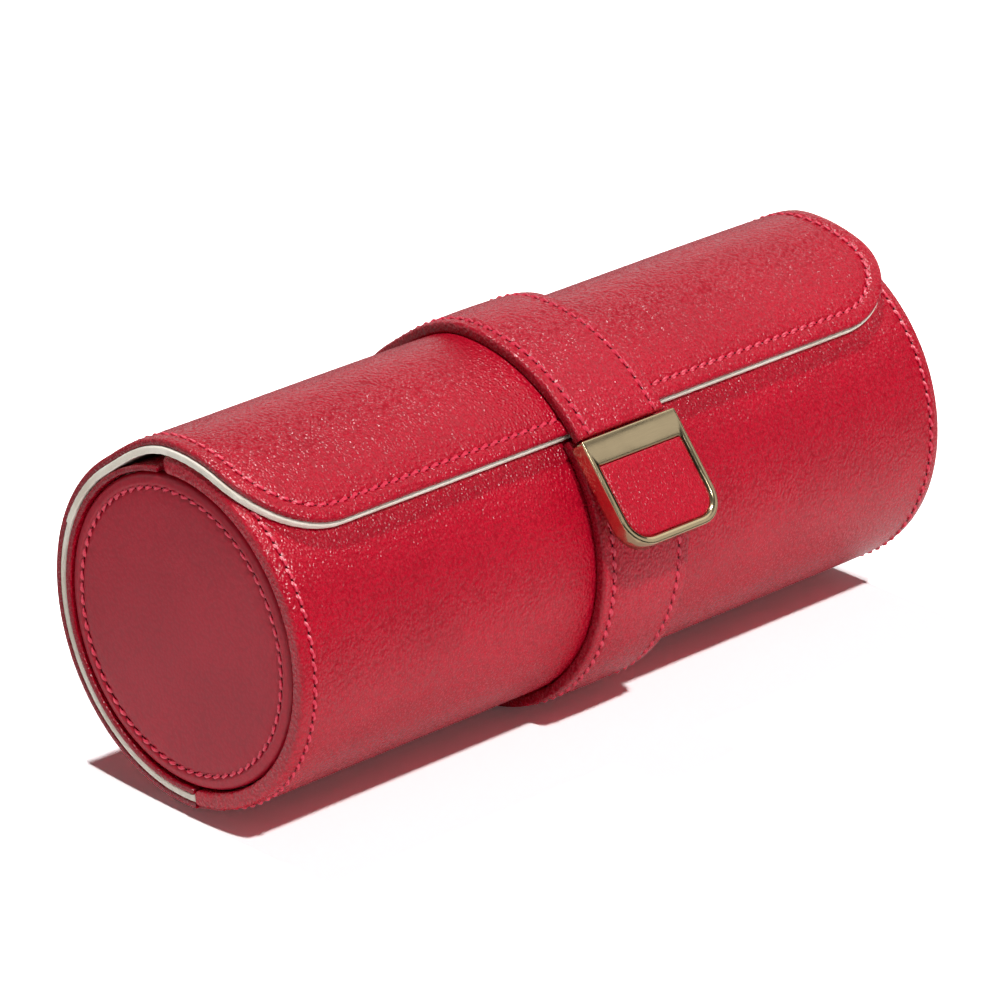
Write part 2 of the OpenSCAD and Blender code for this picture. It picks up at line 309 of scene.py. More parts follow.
@dataclass(frozen=True)
class Leather(Finish):
    """Dyed calf leather, embossed with a fine pebble and lightly glazed.

    Attributes:
        dye: Colour of the face.
        crease: Colour of the painted shade down between the pebbles and in the stitch channel.
        edge: Colour of the painted cut edge.
        pebble: Width of one pebble of the grain, drawn as coarse as it needs to show.
        relief: Height of the pebbles.
        roughness: Roughness of the glaze.
        specular: Level of the glaze's reflection.
        stretch: How much longer the pebbles are across the tube than along it.
    """

    dye: str = "#B20725"
    crease: str = "#8C0317"
    edge: str = "#87071C"
    pebble: float = 0.9 * MM
    relief: float = 0.18 * MM
    roughness: float = 0.25
    specular: float = 0.5
    stretch: float = 1.35

    def build(self, add: AddNode) -> Socket:
        """Builds pebbles, pores, soft colour drift, painted crease and channel shade and darker
        painted edges.
        """
        place = add("ShaderNodeTexCoord", out="Object")
        along = add("ShaderNodeMapping", {"Vector": place, "Scale": (self.stretch, 1, 1)})
        wander = add(
            "ShaderNodeTexNoise", {"Vector": along, "Scale": 0.5 / self.pebble, "Detail": 3.0},
            out="Color"
        )
        bent = add(
            "ShaderNodeVectorMath", {0: wander, 1: (1.1 * self.pebble,) * 3, 2: along},
            operation="MULTIPLY_ADD"
        )
        pebbles = add(
            "ShaderNodeTexVoronoi", {"Vector": bent, "Scale": 1 / self.pebble, "Smoothness": 0.3},
            feature="SMOOTH_F1", out="Distance"
        )
        pores = add(
            "ShaderNodeTexNoise", {"Vector": along, "Scale": 1.6 / self.pebble, "Detail": 2.0},
            out="Fac"
        )
        drift = add(
            "ShaderNodeTexNoise", {"Vector": place, "Scale": 1 / (24 * MM), "Detail": 3.0},
            out="Fac"
        )
        creases = add("ShaderNodeMapRange", {"Value": pebbles, "From Max": 0.75})
        # Painted shade: the face darkens to the crease colour between the pebbles and in the stitch
        # channel.
        channel = add("ShaderNodeAttribute", attribute_name="channel", out="Fac")
        crease_shade = add("ShaderNodeMapRange", {"Value": creases, "From Min": 0.55, "To Max": 0.5})
        dark = add("ShaderNodeMath", {0: crease_shade, 1: channel}, operation="MAXIMUM")
        face = add(
            "ShaderNodeMix", {0: dark, 6: linear(self.dye), 7: linear(self.crease)},
            data_type="RGBA", out=2
        )
        tone = add(
            "ShaderNodeMapRange",
            {"Value": drift, "From Min": 0.3, "From Max": 0.7, "To Min": 0.93, "To Max": 1.07}
        )
        toned = add("ShaderNodeHueSaturation", {"Color": face, "Value": tone})
        rim = add("ShaderNodeAttribute", attribute_name="rim", out="Fac")
        painted = add(
            "ShaderNodeMix", {0: rim, 6: toned, 7: linear(self.edge)}, data_type="RGBA", out=2
        )
        grain = add("ShaderNodeMath", {0: pores, 1: 0.3, 2: creases}, operation="MULTIPLY_ADD")
        bump = add(
            "ShaderNodeBump", {"Height": grain, "Distance": self.relief, "Strength": 1.0},
            invert=True
        )
        rough = add(
            "ShaderNodeMapRange",
            {
                "Value": pores, "From Min": 0.3, "From Max": 0.7, "To Min": self.roughness - 0.03,
                "To Max": self.roughness + 0.05
            }
        )
        return add(
            "ShaderNodeBsdfPrincipled",
            {
                "Base Color": painted, "Roughness": rough, "Normal": bump, "IOR": 1.5,
                "Specular IOR Level": self.specular
            }
        )


@dataclass(frozen=True)
class Suede(Finish):
    """Split leather brushed to a nap, dull and soft at the cut edge.

    Attributes:
        colour: Colour of the nap.
        shade: Colour where the nap lies the other way.
        nap: Width of one tuft of the nap.
    """

    colour: str = "#F3ECE0"
    shade: str = "#D8CDBC"
    nap: float = 0.35 * MM

    def build(self, add: AddNode) -> Socket:
        """Builds a fine nap, brushed patches and a soft sheen."""
        place = add("ShaderNodeTexCoord", out="Object")
        tufts = add(
            "ShaderNodeTexNoise",
            {"Vector": place, "Scale": 1 / self.nap, "Detail": 5.0, "Roughness": 0.7}, out="Fac"
        )
        brushed = add(
            "ShaderNodeTexNoise",
            {"Vector": place, "Scale": 1 / (14 * MM), "Detail": 4.0, "Distortion": 0.6}, out="Fac"
        )
        mixed = add("ShaderNodeMath", {0: tufts, 1: 0.5, 2: brushed}, operation="MULTIPLY_ADD")
        lie = add("ShaderNodeMapRange", {"Value": mixed, "From Min": 0.55, "From Max": 0.95})
        colour = add(
            "ShaderNodeMix", {0: lie, 6: linear(self.shade), 7: linear(self.colour)},
            data_type="RGBA", out=2
        )
        bump = add("ShaderNodeBump", {"Height": tufts, "Distance": 0.18 * MM, "Strength": 0.8})
        return add(
            "ShaderNodeBsdfPrincipled",
            {
                "Base Color": colour, "Roughness": 0.95, "Normal": bump, "Specular IOR Level": 0.15,
                "Sheen Weight": 0.25, "Sheen Roughness": 0.5
            }
        )


@dataclass(frozen=True)
class Metal(Finish):
    """Plated metal, cast and polished, with hair scratches from use.

    Attributes:
        colour: Colour of the plating.
        roughness: Roughness of the polish.
        scratch: Depth of the hair scratches.
    """

    colour: str = "#D9C39B"
    roughness: float = 0.16
    scratch: float = 0.002 * MM

    def build(self, add: AddNode) -> Socket:
        """Builds the plating with faint scratches and handled patches."""
        place = add("ShaderNodeTexCoord", out="Object")
        brushed = add("ShaderNodeMapping", {"Vector": place, "Scale": (0.06, 1, 1)})
        hairs = add(
            "ShaderNodeTexNoise", {"Vector": brushed, "Scale": 1 / (0.25 * MM), "Detail": 3.0},
            out="Fac"
        )
        patches = add(
            "ShaderNodeTexNoise", {"Vector": place, "Scale": 1 / (7 * MM), "Detail": 2.0}, out="Fac"
        )
        rough = add(
            "ShaderNodeMapRange",
            {
                "Value": patches, "From Min": 0.35, "From Max": 0.65,
                "To Min": self.roughness * 0.8, "To Max": self.roughness * 1.25
            }
        )
        tone = add(
            "ShaderNodeMapRange",
            {"Value": hairs, "From Min": 0.3, "From Max": 0.7, "To Min": 0.96, "To Max": 1.03}
        )
        colour = add("ShaderNodeHueSaturation", {"Color": linear(self.colour), "Value": tone})
        bump = add("ShaderNodeBump", {"Height": hairs, "Distance": self.scratch, "Strength": 0.5})
        return add(
            "ShaderNodeBsdfPrincipled",
            {"Base Color": colour, "Metallic": 1.0, "Roughness": rough, "Normal": bump}
        )


@dataclass(frozen=True)
class Thread(Finish):
    """Waxed polyester thread, laid in two strands.

    Attributes:
        colour: Colour of the thread.
        roughness: Roughness of the wax.
    """

    colour: str = "#DE3550"
    roughness: float = 0.38

    def build(self, add: AddNode) -> Socket:
        """Builds fine fibres across the strands."""
        place = add("ShaderNodeTexCoord", out="Object")
        fibres = add(
            "ShaderNodeTexNoise", {"Vector": place, "Scale": 1 / (0.16 * MM), "Detail": 2.0},
            out="Fac"
        )
        tone = add(
            "ShaderNodeMapRange",
            {"Value": fibres, "From Min": 0.3, "From Max": 0.7, "To Min": 0.8, "To Max": 1.15}
        )
        colour = add("ShaderNodeHueSaturation", {"Color": linear(self.colour), "Value": tone})
        bump = add("ShaderNodeBump", {"Height": fibres, "Distance": 0.04 * MM, "Strength": 0.6})
        return add(
            "ShaderNodeBsdfPrincipled",
            {
                "Base Color": colour, "Roughness": self.roughness, "Normal": bump,
                "Specular IOR Level": 0.8
            }
        )


@dataclass(frozen=True)
class HoleShade(Finish):
    """Painted shade inside an awl hole, where hardly any light comes out.

    Attributes:
        colour: Colour of the painted shade.
    """

    colour: str = "#3A020B"

    def build(self, add: AddNode) -> Socket:
        """Builds the painted shade, a dull, nearly black red that varies a little."""
        place = add("ShaderNodeTexCoord", out="Object")
        spots = add("ShaderNodeTexNoise", {"Vector": place, "Scale": 1 / (0.5 * MM)}, out="Fac")
        colour = add("ShaderNodeHueSaturation", {"Color": linear(self.colour), "Value": spots})
        return add(
            "ShaderNodeBsdfPrincipled",
            {"Base Color": colour, "Roughness": 0.9, "Specular IOR Level": 0.1}
        )


@dataclass(frozen=True)
class Sweep(Finish):
    """White studio floor, brighter to the camera than the light on it makes it.

    Attributes:
        bounce: Grey level that lights the object from below.
        mirrored: Grey level in the object's reflections, right beside it.
        pool: Distance from the tube's axis where the reflected floor starts to fade.
        shown: Grey level that the camera sees in full light.
    """

    bounce: float = 0.95
    mirrored: float = 0.58
    pool: float = 75 * MM
    shown: float = 1.65

    def build(self, add: AddNode) -> Socket:
        """Builds a floor that clips to white and still keeps the shadow."""
        ray = add("ShaderNodeLightPath", out=None).outputs
        place = add("ShaderNodeTexCoord", out="Object")
        away = add("ShaderNodeSeparateXYZ", {0: place}, out="Y")
        apart = add("ShaderNodeMath", {0: away}, operation="ABSOLUTE")
        share = add("ShaderNodeMath", {0: self.pool, 1: apart}, operation="DIVIDE", use_clamp=True)
        fade = add("ShaderNodeMath", {0: share, 1: 1.3}, operation="POWER")
        mirrored = add("ShaderNodeMath", {0: fade, 1: self.mirrored}, operation="MULTIPLY")
        unseen = add(
            "ShaderNodeMapRange",
            {"Value": ray["Is Glossy Ray"], "To Min": self.bounce, "To Max": mirrored}
        )
        level = add(
            "ShaderNodeMapRange",
            {"Value": ray["Is Camera Ray"], "To Min": unseen, "To Max": self.shown}
        )
        return add("ShaderNodeBsdfDiffuse", {"Color": level})


@dataclass(frozen=True)
class DarkRoom(Finish):
    """Black net behind the camera, thinner towards its top, which the leather mirrors.

    Attributes:
        thins_from: Height where it starts to thin.
        thins_to: Height where it ends.
    """

    thins_from: float = 1.35
    thins_to: float = 1.9

    def build(self, add: AddNode) -> Socket:
        """Builds a flat black that fades out upwards."""
        place = add("ShaderNodeTexCoord", out="Object")
        height = add("ShaderNodeSeparateXYZ", {0: place}, out="Z")
        thin = add(
            "ShaderNodeMapRange",
            {"Value": height, "From Min": self.thins_from, "From Max": self.thins_to}
        )
        black = add("ShaderNodeBsdfDiffuse", {"Color": linear("#0A0808")})
        clear = add("ShaderNodeBsdfTransparent")
        return add("ShaderNodeMixShader", {0: thin, 1: black, 2: clear})


@dataclass(frozen=True)
class GlowingCard(Finish):
    """White card that glows by itself, painted light, which shows as the pale face of the gold
    clasp.

    Attributes:
        level: Strength of its light.
    """

    level: float = 0.6

    def build(self, add: AddNode) -> Socket:
        """Builds an even white glow."""
        return add("ShaderNodeEmission", {"Strength": self.level})


FACE_LEATHER = Leather("calf_leather_red")
STRAP_FINISH = Leather("strap_leather_red", dye="#B40B28", roughness=0.26)
DISC_FINISH = Leather(
    "disc_leather_red", dye="#AE0B28", crease="#980822", roughness=0.4, relief=0.03 * MM,
    specular=0.4
)
INLAY_FINISH = Leather("inlay_leather_red", dye="#B60725", relief=0.11 * MM, stretch=1.9)
LINING_FINISH = Suede("suede_cream")
CUFF_FINISH = Suede("cuff_suede_cream", colour="#E2D8C8", shade="#BFB19C")
GOLD = Metal("gold_plating")
STEEL = Metal("nickel_plated_steel", colour="#B9BABC", roughness=0.28)
THREAD = Thread("waxed_thread_red")
# Painted shade for the awl holes.
HOLE_SHADE = HoleShade("awl_hole_shade")


# ---- The round of the case ----


@dataclass(frozen=True)
class Round:
    """The tube that every sheet is laid on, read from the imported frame.

    Attributes:
        axis_height: Height of the tube's axis above the rest face.
        half_length: From the middle to an end face.
        disc: Radius of the end discs.
        tray: Outer radius of the tray shell.
        shell: Outer radius of the front shell.
        back: Outer radius of the wrap on the tray.
        front: Outer radius of the wrap on the front shell.
        strap: Outer radius of the strap on the front shell.
        strap_half: Half the strap's width.
        strap_lift: From the wrap's face to the strap's face.
        leather: Thickness of the wrap's leather.
        lining: Thickness of the wrap's suede lining.
        rise_start: Angle where the wrap starts to climb over the front shell's end.
        rise_end: Angle where it lies fully on the front shell.
    """

    axis_height: float
    half_length: float
    disc: float
    tray: float
    shell: float
    back: float
    front: float
    strap: float
    strap_half: float
    strap_lift: float
    leather: float
    lining: float
    rise_start: float = 126.0
    rise_end: float = 93.0

    @classmethod
    def from_frame(cls) -> "Round":
        """Measures the tube on the CAD nodes.

        Returns:
            The tube's radii and lengths.
        """
        disc_low, disc_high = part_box("end_disc_left")
        _, tray_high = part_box("tray_shell")
        _, wrap_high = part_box("wrap_top_leather")
        _, lining_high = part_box("wrap_top_lining")
        _, flap_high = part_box("flap_leather")
        _, strap_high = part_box("strap_top")
        axis_height = (disc_low.z + disc_high.z) / 2
        return cls(
            axis_height=axis_height, half_length=tray_high.x, disc=(disc_high.z - disc_low.z) / 2,
            tray=tray_high.y, shell=-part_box("front_shell")[0].y, back=wrap_high.y,
            front=flap_high.z - axis_height, strap=-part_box("strap_front")[0].y,
            strap_half=strap_high.x, strap_lift=strap_high.y - wrap_high.y,
            leather=wrap_high.y - lining_high.y, lining=lining_high.y - tray_high.y - 0.2 * MM
        )

    def wrap(self, angle: Array | float) -> Array | float:
        """Outer radius of the wrap's leather at an angle."""
        rise = smooth_step((self.rise_start - angle) / (self.rise_start - self.rise_end))
        return self.back + (self.front - self.back) * rise

    def outward(self, x: Array, angle: Array) -> Array:
        """Directions away from the axis, one row for each point."""
        turn = np.radians(angle)
        return np.stack([0 * x, -np.cos(turn), np.sin(turn)], 1)

    def place(self, x: Array, angle: Array, radius: Array) -> Array:
        """Puts points on the tube, and none of them below the rest face.

        Args:
            x: Positions along the tube.
            angle: Angles round it.
            radius: Distances from its axis.

        Returns:
            One row of x, y, z for each point.
        """
        turn = np.radians(angle)
        height = self.axis_height + radius * np.sin(turn)
        across = -radius * np.cos(turn)
        return np.stack([x + 0 * turn, across, np.maximum(height, 0.0)], -1)


Face = Callable[[Array, Array], Array]


@dataclass
class Slab:
    """A slab of sheet material, drawn flat and laid round the tube.

    Attributes:
        name: Name of the piece.
        tube: The tube it lies on.
        flat: Rows by columns of flat points: x, and the run round the tube.
        reach: Radius at which the run is measured.
        face: Radius of the outer face at a position and an angle.
        thickness: From the outer face to the inner face at a position and a run.
        edge: Radius of the rounded edges, by which the flat grid stays inside the outline.
        relief: How far the outer face sinks at a position and a run.
        channel: Painted shade in the stitch channel, at a position and a run.
        painted: How much paint its cut edges carry, none where the leather is turned in.
        cut_first: The first row is cut square, where the next piece goes on.
        cut_last: The last row is cut square.
        edge_steps: Steps of a quarter of the rounded edge.
    """

    name: str
    tube: Round
    flat: Array
    reach: float
    face: Face
    thickness: Face
    edge: float
    relief: Face | None = None
    channel: Face | None = None
    painted: float = 1.0
    cut_first: bool = False
    cut_last: bool = False
    edge_steps: int = 4

    def boundary(self) -> Array:
        """Vertex numbers round the grid, anticlockwise from outside."""
        rows, columns = self.flat.shape[:2]
        grid = np.arange(rows * columns).reshape(rows, columns)
        return np.concatenate([grid[0, :-1], grid[:-1, -1], grid[-1, :0:-1], grid[:0:-1, 0]])

    def outward(self, loop: Array) -> Array:
        """Works out which way each point of the boundary moves for a wider outline.

        Args:
            loop: Vertex numbers round the grid.

        Returns:
            One flat vector for each point, mitred at the corners.
        """
        rows, columns = self.flat.shape[:2]
        points = self.flat.reshape(-1, 2)[loop]
        ahead = np.roll(points, -1, 0) - points
        size = np.maximum(np.linalg.norm(ahead, axis=1, keepdims=True), 1e-9)
        normal = np.stack([ahead[:, 1], -ahead[:, 0]], 1) / size
        if self.cut_first:
            normal[: columns - 1] = 0
        if self.cut_last:
            start = columns + rows - 2
            normal[start : start + columns - 1] = 0
        before = np.roll(normal, 1, 0)
        total = before + normal
        full = (np.abs(before).sum(1) > 0) & (np.abs(normal).sum(1) > 0)
        spread = 1 + (before * normal).sum(1, keepdims=True)
        return np.where(full[:, None], total / np.maximum(spread, 0.5), total)

    def profile(self) -> list[tuple[float, float, int]]:
        """Section of the rounded edge.

        Returns:
            Outward steps and depths, and 1 where a depth counts from the inner face.
        """
        edge = self.edge
        turns = [math.pi / 2 * k / self.edge_steps for k in range(1, self.edge_steps + 1)]
        over = [(edge * math.sin(t), edge * (1 - math.cos(t)), 0) for t in turns]
        under = [(edge * math.cos(t), edge * (math.sin(t) - 1), 1) for t in turns[:-1]]
        return over + [(edge, -edge, 1)] + under

    def build(self) -> Piece:
        """Builds the closed slab.

        Returns:
            The piece, with its rim and the painted shade of its stitch channel as attributes.
        """
        rows, columns = self.flat.shape[:2]
        x, run = self.flat[..., 0].ravel(), self.flat[..., 1].ravel()
        loop = self.boundary()
        spread = self.outward(loop)
        zero = np.zeros_like(x)
        sink = self.relief(x, run) if self.relief else zero
        dark = self.channel(x, run) if self.channel else zero
        grid = np.arange(rows * columns).reshape(rows, columns)
        quads = np.stack(
            [grid[:-1, :-1], grid[:-1, 1:], grid[1:, 1:], grid[1:, :-1]], -1
        ).reshape(-1, 4)
        thick = self.thickness(x, run) + zero
        layers = [(x, run, sink, zero, dark)]
        loops = [loop]
        start = rows * columns
        for step, level, from_inner in self.profile():
            moved = self.flat.reshape(-1, 2)[loop] + spread * step
            depth = level + from_inner * thick[loop]
            rest = 1 - depth / thick[loop]
            rim = np.full(len(loop), self.painted * (1 if from_inner else 0.5 * step / self.edge))
            layers.append((moved[:, 0], moved[:, 1], depth + sink[loop] * rest, rim, dark[loop]))
            loops.append(start + np.arange(len(loop)))
            start += len(loop)
        layers.append((x, run, thick, zero, zero))
        loops.append(start + loop)
        faces = quads.tolist() + (quads[:, ::-1] + start).tolist() + stack_faces(loops)
        xs, runs, depths, rims, darks = (np.concatenate(part) for part in zip(*layers))
        angles = np.degrees(runs / self.reach)
        points = self.tube.place(xs, angles, self.face(xs, angles) - depths)
        return finish_mesh(self.name, points, faces, {"rim": rims, "channel": darks})


def even(size: float) -> Face:
    """Makes a radius or a thickness that is the same all over a slab."""
    return lambda x, run: size + 0 * x


def plain_grid(across: Array, angles: Array, reach: float) -> Array:
    """Draws a straight grid for a slab.

    Args:
        across: Positions along the tube.
        angles: Angles round it.
        reach: Radius at which runs are measured.

    Returns:
        Rows by columns of x and run.
    """
    x, run = np.meshgrid(across, np.radians(angles) * reach)
    return np.stack([x, run], -1)


def sloped_grid(x: Array, start: Array | float, end: Array | float, down: Array) -> Array:
    """Draws a grid whose rows go over from one outline to another.

    Args:
        x: Positions along the tube.
        start: Runs of the first row.
        end: Runs of the last row.
        down: Share of the way for each row, from 0 to 1.

    Returns:
        Rows by columns of x and run.
    """
    run = start + (end - start) * down[:, None]
    return np.stack([np.broadcast_to(x, run.shape), run], -1)


def mirrored(right: Array) -> Array:
    """Positions on both sides of the middle, from those on its right."""
    return np.concatenate([-right[:0:-1], right])


def corner_drop(x: Array, half: float, corner: float, inset: float) -> Array:
    """How far a rounded corner draws an edge in at a position.

    Args:
        x: Positions along the tube.
        half: From the middle to the side edge.
        corner: Radius of the corner.
        inset: How far the grid stays inside the outline.

    Returns:
        A length for each position.
    """
    radius = corner - inset
    past = np.maximum(np.abs(x) - (half - corner), 0)
    return radius - np.sqrt(np.maximum(radius**2 - past**2, 0))


def groove(distance: Array, at: float, depth: float, width: float) -> Array:
    """Depth of a pressed stitch channel at a distance from the edge."""
    return depth * np.exp(-(((distance - at) / width) ** 2))


def channel_shade(distance: Array, at: float) -> Array:
    """Painted shade in a stitch channel, at a distance from the edge."""
    return np.exp(-(((distance - at) / CHANNEL_HALF) ** 2)) * CHANNEL_DARK


# ---- Stitches ----


@dataclass(frozen=True)
class StitchPattern:
    """A row of two-strand saddle stitches.

    Attributes:
        pitch: From one stitch to the next.
        length: Length of one stitch on the face.
        width: Width over both strands.
        height: How far a stitch stands proud.
        slant: Turn of each stitch against the row.
        hole: Radius of an awl hole.
        seed: Seed of the small differences between stitches.
    """

    pitch: float = 2.95 * MM
    length: float = 2.6 * MM
    width: float = 1.15 * MM
    height: float = 0.66 * MM
    slant: float = math.radians(19)
    hole: float = 0.34 * MM
    seed: int = 4

    def strand_shape(self) -> Piece:
        """Makes one stitch, two strands that turn round each other.

        Returns:
            A loose object that the tree copies along the row.
        """
        rings, sides, twist = 7, 5, math.radians(210)
        points, faces = [], []
        for strand in (0, 1):
            base = len(points)
            for k in range(rings):
                t = k / (rings - 1)
                swell = math.sin(math.pi * (0.08 + 0.84 * t)) ** 0.55
                turn = twist * t + math.pi * strand
                radius = self.width / 4 * 1.12
                x = (t - 0.5) * self.length
                y = math.cos(turn) * self.width / 4 * swell
                z = self.height * (swell - 0.55) + math.sin(turn) * self.width / 8 * swell
                for side in range(sides):
                    a = 2 * math.pi * side / sides
                    points.append(
                        (x, y + radius * swell * math.cos(a), z + radius * swell * math.sin(a))
                    )
            for k in range(rings - 1):
                for side in range(sides):
                    after = (side + 1) % sides
                    low, high = base + k * sides, base + (k + 1) * sides
                    faces.append((low + side, high + side, high + after, low + after))
            faces.append(tuple(base + side for side in range(sides)))
            last = base + (rings - 1) * sides
            faces.append(tuple(last + side for side in reversed(range(sides))))
        return finish_mesh("one_stitch", np.array(points), faces)

    def hole_shape(self) -> Piece:
        """Makes one awl hole's painted shade, a shallow dark lens half a pitch along.

        Returns:
            A loose object that the tree copies along the row.
        """
        sides = 8
        turns = [2 * math.pi * k / sides for k in range(sides)]
        shape = [
            (self.pitch / 2 + 1.25 * self.hole * math.cos(a), self.hole * math.sin(a), z)
            for z in (-0.1 * MM, 0.03 * MM) for a in turns
        ]
        points = np.array([*shape, (self.pitch / 2, 0, 0.07 * MM), (self.pitch / 2, 0, -0.1 * MM)])
        low, high = np.arange(sides), np.arange(sides) + sides
        faces = ring_faces(high, low)
        faces += [(int(k), (int(k) - sides + 1) % sides + sides, 2 * sides) for k in high]
        faces += [((int(k) + 1) % sides, int(k), 2 * sides + 1) for k in low]
        return finish_mesh("one_hole", points, faces)

    def tree(self) -> bpy.types.NodeTree:
        """Builds the tree that sews a row along a path with normals.

        Returns:
            The tree, with the pitch, slant and shapes as named inputs.
        """
        tree = bpy.data.node_groups.new("sewn_row", "GeometryNodeTree")
        face = tree.interface
        face.new_socket("Geometry", in_out="OUTPUT", socket_type="NodeSocketGeometry")
        face.new_socket("Path", in_out="INPUT", socket_type="NodeSocketGeometry")
        for name, kind in (
            ("Pitch", "NodeSocketFloat"), ("Slant", "NodeSocketFloat"),
            ("Stitch", "NodeSocketObject"), ("Hole", "NodeSocketObject"), ("Seed", "NodeSocketInt")
        ):
            face.new_socket(name, in_out="INPUT", socket_type=kind)
        add = partial(add_node, tree)
        given = add("NodeGroupInput", out=None).outputs
        curve = add("GeometryNodeMeshToCurve", {"Mesh": given["Path"]})
        even = add(
            "GeometryNodeResampleCurve", {"Curve": curve, "Length": given["Pitch"]}, mode="LENGTH"
        )
        tangent = add("GeometryNodeInputTangent")
        normal = add(
            "GeometryNodeInputNamedAttribute", {"Name": "face_normal"}, data_type="FLOAT_VECTOR"
        )
        ahead = add("FunctionNodeAlignRotationToVector", {"Vector": tangent}, axis="X")
        upright = add(
            "FunctionNodeAlignRotationToVector", {"Rotation": ahead, "Vector": normal}, axis="Z",
            pivot_axis="X"
        )
        wobble = add(
            "FunctionNodeRandomValue", {2: -0.09, 3: 0.09, "Seed": given["Seed"]},
            data_type="FLOAT", out=1
        )
        lean = add("ShaderNodeMath", {0: given["Slant"], 1: wobble}, operation="ADD")
        turn = add("ShaderNodeCombineXYZ", {"Z": lean})
        rotation = add(
            "FunctionNodeRotateRotation", {"Rotation": upright, "Rotate By": turn},
            rotation_space="LOCAL"
        )
        rows = []
        # Each awl hole is a dark lens of painted shade.
        for shape, pose, finish in (("Stitch", rotation, THREAD), ("Hole", upright, HOLE_SHADE)):
            source = add("GeometryNodeObjectInfo", {"Object": given[shape]}, out="Geometry")
            copies = add(
                "GeometryNodeInstanceOnPoints",
                {"Points": even, "Instance": source, "Rotation": pose}
            )
            solid = add("GeometryNodeRealizeInstances", {"Geometry": copies})
            rows.append(
                add("GeometryNodeSetMaterial", {"Geometry": solid, "Material": finish.material()})
            )
        joined = add("GeometryNodeJoinGeometry", out=None)
        for row in rows:
            tree.links.new(row, joined.inputs[0])
        add("NodeGroupOutput", {0: joined.outputs[0]}, out=None)
        return tree


@dataclass
class Seam:
    """A sewn seam: one or more rows of stitches on one piece.

    Attributes:
        name: Name of the piece of thread.
        paths: Points of each row.
        normals: Face normals at those points.
    """

    name: str
    paths: list[Array] = field(default_factory=list)
    normals: list[Array] = field(default_factory=list)

    def add(self, points: Array, normals: Array) -> None:
        """Adds one row."""
        self.paths.append(points)
        self.normals.append(normals)

    def sew(self, shapes: "StitchShapes") -> Piece:
        """Runs the stitch tree along every row.

        Args:
            shapes: The pattern, its tree and the two shapes that it copies.

        Returns:
            One plain mesh of all the stitches and the painted shade of the awl holes.
        """
        points = np.concatenate(self.paths)
        edges, start = [], 0
        for path in self.paths:
            edges += [(start + k, start + k + 1) for k in range(len(path) - 1)]
            start += len(path)
        mesh = bpy.data.meshes.new(self.name + "_path")
        mesh.from_pydata(points.tolist(), edges, [])
        layer = mesh.attributes.new("face_normal", "FLOAT_VECTOR", "POINT")
        flat = np.concatenate(self.normals).astype(np.float32).ravel()
        layer.data.foreach_set("vector", flat)
        guide = add_object(self.name + "_path", mesh)
        modifier = guide.modifiers.new("sewn_row", "NODES")
        modifier.node_group = shapes.tree
        pattern = shapes.pattern
        values = {"Pitch": pattern.pitch, "Slant": pattern.slant, "Seed": pattern.seed}
        values |= {"Stitch": shapes.stitch, "Hole": shapes.hole}
        for item in shapes.tree.interface.items_tree:
            if item.name in values:
                modifier[item.identifier] = values[item.name]
        graph = bpy.context.evaluated_depsgraph_get()
        sewn = bpy.data.meshes.new_from_object(guide.evaluated_get(graph))
        sewn.name = self.name
        piece = add_object(self.name, sewn)
        bpy.data.objects.remove(guide)
        report(piece)
        return piece


@dataclass
class StitchShapes:
    """The pattern, its tree and the loose shapes that every seam copies."""

    pattern: StitchPattern
    tree: bpy.types.NodeTree
    stitch: Piece
    hole: Piece

    @classmethod
    def of(cls, pattern: StitchPattern) -> "StitchShapes":
        """Makes the shapes and the tree of a pattern."""
        return cls(pattern, pattern.tree(), pattern.strand_shape(), pattern.hole_shape())

    def put_away(self) -> None:
        """Removes the loose shapes once every seam is sewn."""
        bpy.data.objects.remove(self.stitch)
        bpy.data.objects.remove(self.hole)


# ---- Turned and flat plates ----


def turned(
    name: str, tube: Round, profile: Array, side: int, segments: int,
    relief: Callable[[Array, Array], Array] | None = None
) -> Piece:
    """Turns a profile about the tube's axis.

    Args:
        name: Name of the piece.
        tube: The tube whose axis it turns about.
        profile: Rows of radius and x, from the inner pole out and back to the outer pole.
        side: -1 mirrors the piece to the left end.
        segments: Steps round the axis.
        relief: How far a point sinks along x, at a radius and a turn.

    Returns:
        The closed piece.
    """
    turns = np.arange(segments) * 2 * np.pi / segments
    ring = profile[1:-1]
    radius = np.repeat(ring[:, 0], segments)
    x = np.repeat(ring[:, 1], segments)
    turn = np.tile(turns, len(ring))
    outer = x > profile[0, 1] + 1e-6
    if relief is not None:
        x = x - np.where(outer, relief(radius, turn), 0.0)
    points = np.stack(
        [side * x, radius * np.cos(turn), tube.axis_height + radius * np.sin(turn)], 1
    )
    poles = [[side * profile[k, 1], 0.0, tube.axis_height] for k in (0, -1)]
    points = np.concatenate([points, np.array(poles)])
    loops = np.arange(len(ring) * segments).reshape(len(ring), segments)
    faces: Faces = []
    for near, far in zip(loops[:-1], loops[1:]):
        faces += ring_faces(far, near)
    faces += fan_faces(loops[0], len(points) - 2, flip=True)
    faces += fan_faces(loops[-1], len(points) - 1)
    if side < 0:
        faces = [tuple(reversed(face)) for face in faces]
    return finish_mesh(name, points, faces)


def corner_points(centre: tuple[float, float], r: float, start: float, end: float) -> Array:
    """Points of a rounded corner, as a short arc."""
    turns = np.radians(np.linspace(start, end, 9))
    return np.stack([centre[0] + r * np.cos(turns), centre[1] + r * np.sin(turns)], 1)


